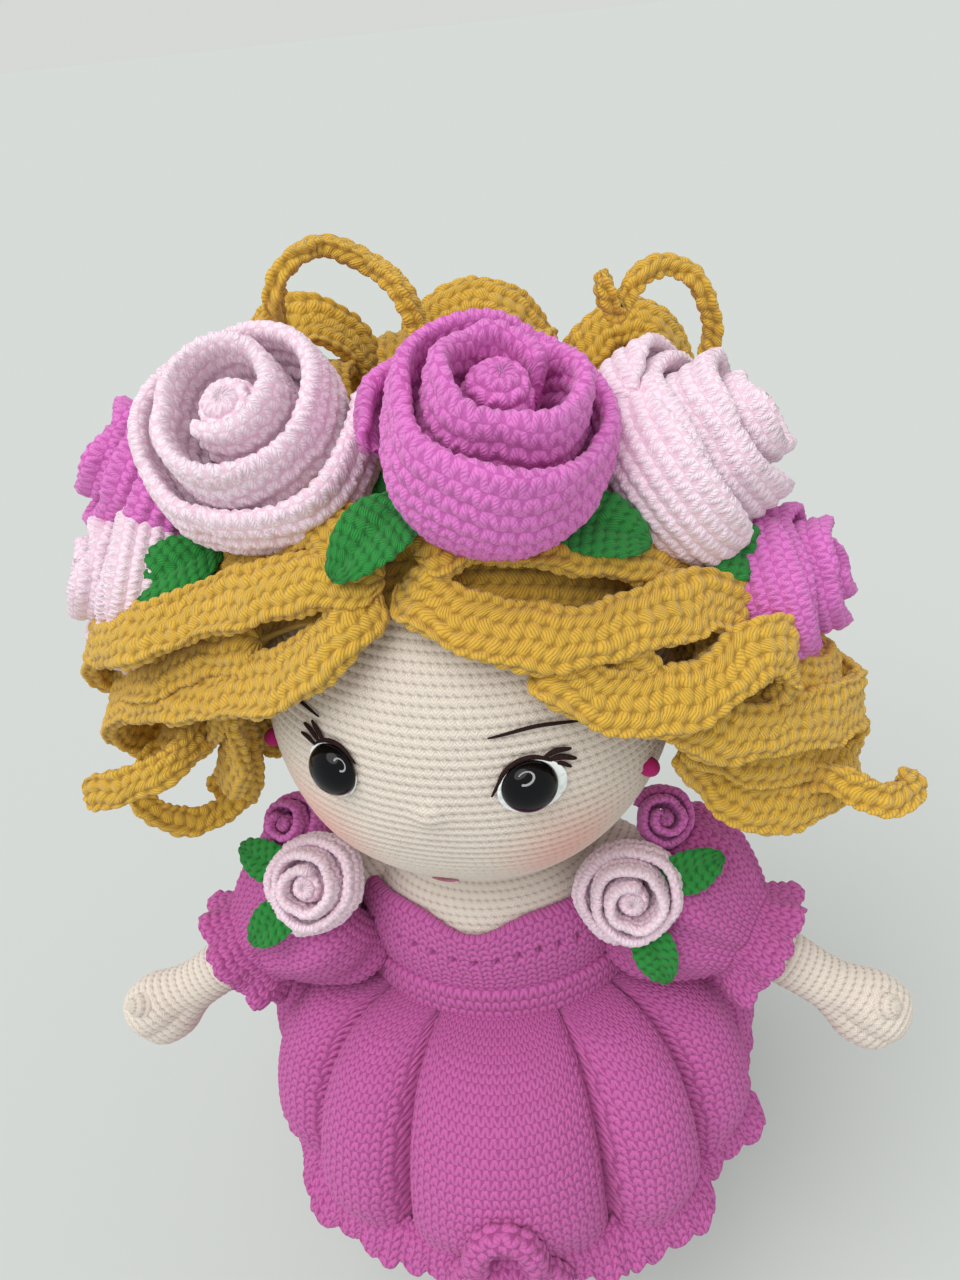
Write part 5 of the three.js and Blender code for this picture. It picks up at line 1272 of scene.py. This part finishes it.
# Strips that have a solid: their paths as shares of the head's radius, their width
# directions at root and tip, and their widths as shares of a lock's
LOCKS = {
    "fringe_left_upper": ([
        (-0.16, -0.62, 0.9), (0.02, -0.74, 0.8), (0.27, -0.79, 0.72), (0.54, -0.78, 0.7),
        (0.82, -0.68, 0.71), (1.05, -0.55, 0.69), (1.2, -0.49, 0.54), (1.1, -0.44, 0.36),
    ], (0, 0.75, 0.66), (0.1, 0.75, 0.66), 1),
    "fringe_left_middle": ([
        (0.36, -0.8, 0.64), (0.52, -0.87, 0.51), (0.74, -0.86, 0.42), (0.99, -0.79, 0.42),
        (1.25, -0.66, 0.52), (1.38, -0.58, 0.42), (1.3, -0.54, 0.2),
    ], (0.1, 0.6, 0.78), (0.1, 0.75, 0.66), 1),
    "fringe_left_lower": ([
        (0.62, -0.76, 0.6), (0.76, -0.8, 0.46), (0.9, -0.79, 0.33), (1.08, -0.76, 0.19),
        (1.32, -0.67, 0.12), (1.65, -0.46, 0.03), (1.8, -0.22, -0.07), (1.68, 0.02, -0.12),
    ], (0.2, 0.4, 0.9), (0.1, 0.7, 0.7), 1),
    "side_left_curl": ([
        (1.0, -0.62, 0.04), (1.08, -0.62, -0.14), (1.28, -0.64, -0.34), (1.58, -0.52, -0.41),
        (1.78, -0.32, -0.39), (1.8, -0.1, -0.3),
    ], (0.4, 0.3, 0.87), (0.1, 0.7, 0.7), 1),
    "side_left_tail": ([
        (1.5, -0.44, -0.34), (1.64, -0.62, -0.24), (1.8, -0.68, -0.3), (1.93, -0.63, -0.33),
        (2.0, -0.54, -0.28),
    ], (0, 0.5, 0.87), (0, 0.5, 0.87), 0.55),
    "fringe_right_upper": ([
        (-0.22, -0.66, 0.94), (-0.42, -0.64, 0.94), (-0.72, -0.6, 0.88), (-1.04, -0.54, 0.76),
        (-1.42, -0.48, 0.62), (-1.74, -0.19, 0.42), (-1.8, -0.05, 0.2), (-1.56, 0.03, 0.06),
    ], (0, 0.75, 0.66), (0, 0.85, 0.5), 1),
    "fringe_right_middle": ([
        (-0.26, -0.66, 0.9), (-0.46, -0.76, 0.7), (-0.76, -0.74, 0.52), (-1.08, -0.6, 0.4),
        (-1.42, -0.43, 0.27), (-1.74, -0.21, 0.08), (-1.8, -0.06, -0.2), (-1.54, 0.0, -0.38),
    ], (0.3, 0.6, 0.74), (0, 0.85, 0.5), 1),
    "side_right_hanging": ([
        (-1.06, -0.5, 0.44), (-1.1, -0.42, 0.12), (-1.14, -0.38, -0.13), (-1.24, -0.36, -0.36),
    ], (0.5, -0.85, 0), (0.6, -0.8, 0), 1),
    "side_right_tail": ([
        (-1.24, -0.3, 0.02), (-1.36, -0.58, -0.02), (-1.58, -0.64, -0.08), (-1.8, -0.62, -0.15),
    ], (0, 0.5, 0.87), (0, 0.5, 0.87), 0.6),
    "side_right_ring": ([
        (-1.16, -0.12, -0.24), (-1.2, -0.16, -0.48), (-1.36, -0.28, -0.6), (-1.54, -0.38, -0.56),
        (-1.7, -0.36, -0.42), (-1.66, -0.18, -0.3), (-1.5, -0.06, -0.34),
    ], (0, 0.8, 0.6), (0, 0.8, 0.6), 0.5),
    "top_arch_right": ([
        (-0.58, 0.38, 0.83), (-0.74, 0.46, 1.5), (-0.7, 0.4, 1.83), (-0.54, 0.57, 1.94),
        (-0.33, 0.58, 1.86), (-0.14, 0.48, 1.66), (-0.04, 0.4, 1.0),
    ], (0, 1, 0), (0, 1, 0), 0.55),
    "top_arch_left": ([
        (0.81, 0.45, 0.55), (1.18, 0.53, 1.3), (1.15, 0.51, 1.62), (1.02, 0.53, 1.74),
        (0.88, 0.49, 1.72), (0.76, 0.42, 1.6), (0.7, 0.37, 1.78),
    ], (0, 1, 0), (0, 1, 0), 0.5),
    "top_curl_right": ([
        (-0.68, 0.56, 0.66), (-1.06, 0.76, 1.2), (-0.9, 0.88, 1.52), (-0.62, 0.94, 1.5),
        (-0.4, 1.0, 1.18), (-0.3, 0.84, 0.66),
    ], (0, 0.75, 0.66), (0, 0.75, 0.66), 1),
    "top_curl_middle": ([
        (-0.22, 0.56, 0.9), (-0.22, 0.78, 1.32), (0.0, 0.88, 1.56), (0.3, 0.9, 1.5),
        (0.46, 0.96, 1.16), (0.3, 0.84, 0.68),
    ], (0, 0.75, 0.66), (0, 0.75, 0.66), 1),
    "top_curl_left": ([
        (0.54, 0.62, 0.72), (0.56, 0.82, 1.14), (0.76, 0.9, 1.4), (1.02, 0.88, 1.34),
        (1.14, 0.86, 0.94), (0.78, 0.62, 0.46),
    ], (0, 0.75, 0.66), (0, 0.75, 0.66), 1),
}

# Strips that fill the hair between them, with the same sizes
FILLERS = {
    "swept_back_1": ([
        (-0.98, 0.36, 0.66), (-1.12, 0.6, 1.0), (-1.1, 0.92, 1.02), (-1.0, 1.08, 0.72),
        (-0.92, 0.98, 0.5),
    ], (0.7, 0.2, -0.6), (0.9, 0.3, 0), 1.1),
    "swept_back_2": ([
        (-0.6, 0.4, 1.0), (-0.68, 0.7, 1.32), (-0.66, 1.04, 1.24), (-0.6, 1.24, 0.9),
        (-0.54, 1.16, 0.6),
    ], (0.9, 0.1, -0.3), (0.9, 0.2, 0), 1.25),
    "swept_back_3": ([
        (-0.12, 0.4, 1.12), (-0.18, 0.72, 1.42), (-0.16, 1.08, 1.32), (-0.12, 1.3, 0.96),
        (-0.1, 1.22, 0.64),
    ], (1, 0, 0), (1, 0, 0), 1.3),
    "swept_back_4": ([
        (0.34, 0.4, 1.1), (0.3, 0.72, 1.38), (0.34, 1.06, 1.28), (0.36, 1.26, 0.92),
        (0.34, 1.18, 0.62),
    ], (1, 0, 0), (1, 0, 0), 1.3),
    "swept_back_5": ([
        (0.74, 0.38, 0.92), (0.82, 0.7, 1.18), (0.84, 1.0, 1.08), (0.8, 1.14, 0.78),
        (0.72, 1.08, 0.54),
    ], (0.9, -0.1, 0.4), (0.9, -0.2, 0), 1.25),
    "crown_right": ([
        (-0.3, -0.6, 1.0), (-0.5, -0.42, 1.08), (-0.8, -0.3, 0.96), (-1.06, -0.22, 0.74),
        (-1.2, -0.2, 0.5),
    ], (0, 0.8, 0.6), (0, 0.8, 0.4), 1.1),
    "crown_left": ([
        (-0.1, -0.6, 1.0), (0.14, -0.55, 1.05), (0.5, -0.5, 0.98), (0.86, -0.42, 0.82),
        (1.12, -0.34, 0.6),
    ], (0, 0.8, 0.6), (0, 0.8, 0.4), 1.1),
    "side_left_fold": ([
        (0.98, -0.68, 0.14), (1.16, -0.64, -0.02), (1.4, -0.56, -0.14), (1.66, -0.36, -0.16),
        (1.74, -0.1, -0.12),
    ], (0.3, 0.3, 0.87), (0.1, 0.7, 0.7), 1.0),
    "side_left_under": ([
        (1.02, -0.42, -0.08), (1.16, -0.34, -0.34), (1.36, -0.28, -0.5), (1.56, -0.16, -0.5),
        (1.6, 0.06, -0.4),
    ], (0.3, 0.3, 0.87), (0.1, 0.7, 0.7), 0.9),
    "left_middle_fold": ([
        (0.96, -0.68, 0.38), (1.24, -0.58, 0.24), (1.5, -0.46, 0.14), (1.66, -0.24, 0.06),
        (1.6, 0.0, 0.0),
    ], (0.1, 0.6, 0.78), (0.1, 0.7, 0.7), 1.1),
    "left_lower_fold": ([
        (0.9, -0.62, 0.24), (1.2, -0.5, 0.08), (1.46, -0.34, -0.04), (1.6, -0.1, -0.1),
        (1.54, 0.12, -0.1),
    ], (0.1, 0.6, 0.78), (0.1, 0.7, 0.7), 1.3),
    "right_middle_fold": ([
        (-0.8, -0.58, 0.64), (-1.16, -0.48, 0.5), (-1.44, -0.4, 0.36), (-1.62, -0.16, 0.2),
        (-1.5, 0.04, 0.04),
    ], (0, 0.75, 0.66), (0, 0.8, 0.5), 1.0),
    "left_ear_fall": ([
        (0.96, -0.2, 0.5), (1.1, -0.1, 0.2), (1.1, -0.02, -0.1), (1.02, 0.04, -0.4),
    ], (0, 1, 0), (0, 1, 0), 1.1),
    "left_nape_fall": ([
        (0.94, 0.1, 0.5), (1.06, 0.22, 0.16), (1.04, 0.32, -0.16), (0.94, 0.34, -0.46),
    ], (-0.2, 1, 0), (-0.2, 1, 0), 1.1),
    "right_ear_fall": ([
        (-0.96, -0.2, 0.5), (-1.1, -0.1, 0.2), (-1.1, -0.02, -0.1), (-1.02, 0.04, -0.4),
    ], (0, 1, 0), (0, 1, 0), 1.1),
    "right_nape_fall": ([
        (-0.94, 0.1, 0.5), (-1.06, 0.22, 0.16), (-1.04, 0.32, -0.16), (-0.94, 0.34, -0.46),
    ], (0.2, 1, 0), (0.2, 1, 0), 1.1),
    "side_right_under": ([
        (-0.98, -0.5, 0.4), (-1.16, -0.36, 0.1), (-1.36, -0.24, -0.12), (-1.56, -0.1, -0.2),
        (-1.6, 0.1, -0.16),
    ], (0.3, 0.6, 0.74), (0, 0.85, 0.5), 0.9),
    "side_right_coil": ([
        (-1.06, -0.24, 0.1), (-1.12, -0.2, -0.2), (-1.2, -0.16, -0.46), (-1.32, -0.1, -0.6),
        (-1.46, -0.04, -0.56),
    ], (0.5, -0.85, 0), (0.6, -0.8, 0), 0.8),
}

hair_cap()
back_rows()
for filler_name, filler in FILLERS.items():
    lock(filler_name, *filler)
for lock_name, lock_shape in LOCKS.items():
    lock(lock_name, *lock_shape, replaces=[f"lock_{lock_name}"])


# Floor, light and camera

# The camera's own directions in the scene, and its place
CAMERA_RIGHT = (0.9948, 0.0443, -0.0919)
CAMERA_UP = (0.0524, 0.5513, 0.8327)
CAMERA_BACK = (0.0876, -0.8331, 0.5461)
CAMERA_PLACE = HEAD_CENTRE + np.array([23.33, -194.55, 137.37]) * MM
FLOOR_REACH = 40.0
LAMP_RADIUS, LAMP_THICKNESS = 0.1, 0.014


def floor():
    """A wide pale floor, which meets the pale room light far behind the doll."""
    mesh = bpy.data.meshes.new("floor")
    corners = [(x * FLOOR_REACH, y * FLOOR_REACH, 0) for x, y in ((-1, -1), (1, -1), (1, 1), (-1, 1))]
    mesh.from_pydata(corners, [], [(0, 1, 2, 3)])
    mesh.materials.append(plain("pale floor", linear(202, 205, 203), 0.9, specular=0.0))
    new_object("floor", mesh)


def ring_lamp():
    """An open ring of light round the lens, which shows only in glossy things such as the
    eyes."""
    angle = np.linspace(-0.6 * np.pi, 0.9 * np.pi, 65)[:, None]
    small = full_turn(12)
    reach = LAMP_RADIUS + LAMP_THICKNESS * np.cos(small)
    ring = grid_of(reach * np.cos(angle), reach * np.sin(angle), LAMP_THICKNESS * np.sin(small))
    points = CAMERA_PLACE + ring @ np.array([CAMERA_RIGHT, CAMERA_UP, CAMERA_BACK])
    mesh = mesh_from_grid("ring_lamp", points, 0.0, 0.0, False)
    mesh.materials.append(plain("ring light", (0, 0, 0), 1.0, glow=26.0))
    piece = new_object("ring_lamp", mesh)
    piece.visible_camera = piece.visible_diffuse = piece.visible_shadow = False


def light():
    """Even room light, with a soft key light from high in front and on the doll's right."""
    world = bpy.data.worlds.new("soft room")
    bpy.context.scene.world = world
    world.use_nodes = True
    room = Tree(world.node_tree)
    room.feed(room.nodes["Background"], {"Color": (0.97, 1, 0.975), "Strength": 0.69})
    data = bpy.data.lights.new("key", "SUN")
    data.energy, data.angle = 1.75, np.radians(50)
    piece = new_object("key", data)
    piece.rotation_euler = Vector((0.35, 0.5, -1.0)).to_track_quat("-Z", "Y").to_euler()
    ring_lamp()


def camera():
    """The photograph's view: from in front and above, close, on a wide lens."""
    data = bpy.data.cameras.new("camera")
    data.lens, data.sensor_width, data.sensor_fit = 27.08, 36, "AUTO"
    data.clip_start, data.clip_end = 0.01, 100
    turn = Matrix([CAMERA_RIGHT, CAMERA_UP, CAMERA_BACK]).transposed().to_4x4()
    turn.translation = CAMERA_PLACE.tolist()
    piece = new_object("camera", data)
    piece.matrix_world = turn
    bpy.context.scene.camera = piece


floor()
light()
camera()
bpy.context.scene.view_settings.view_transform = "Standard"
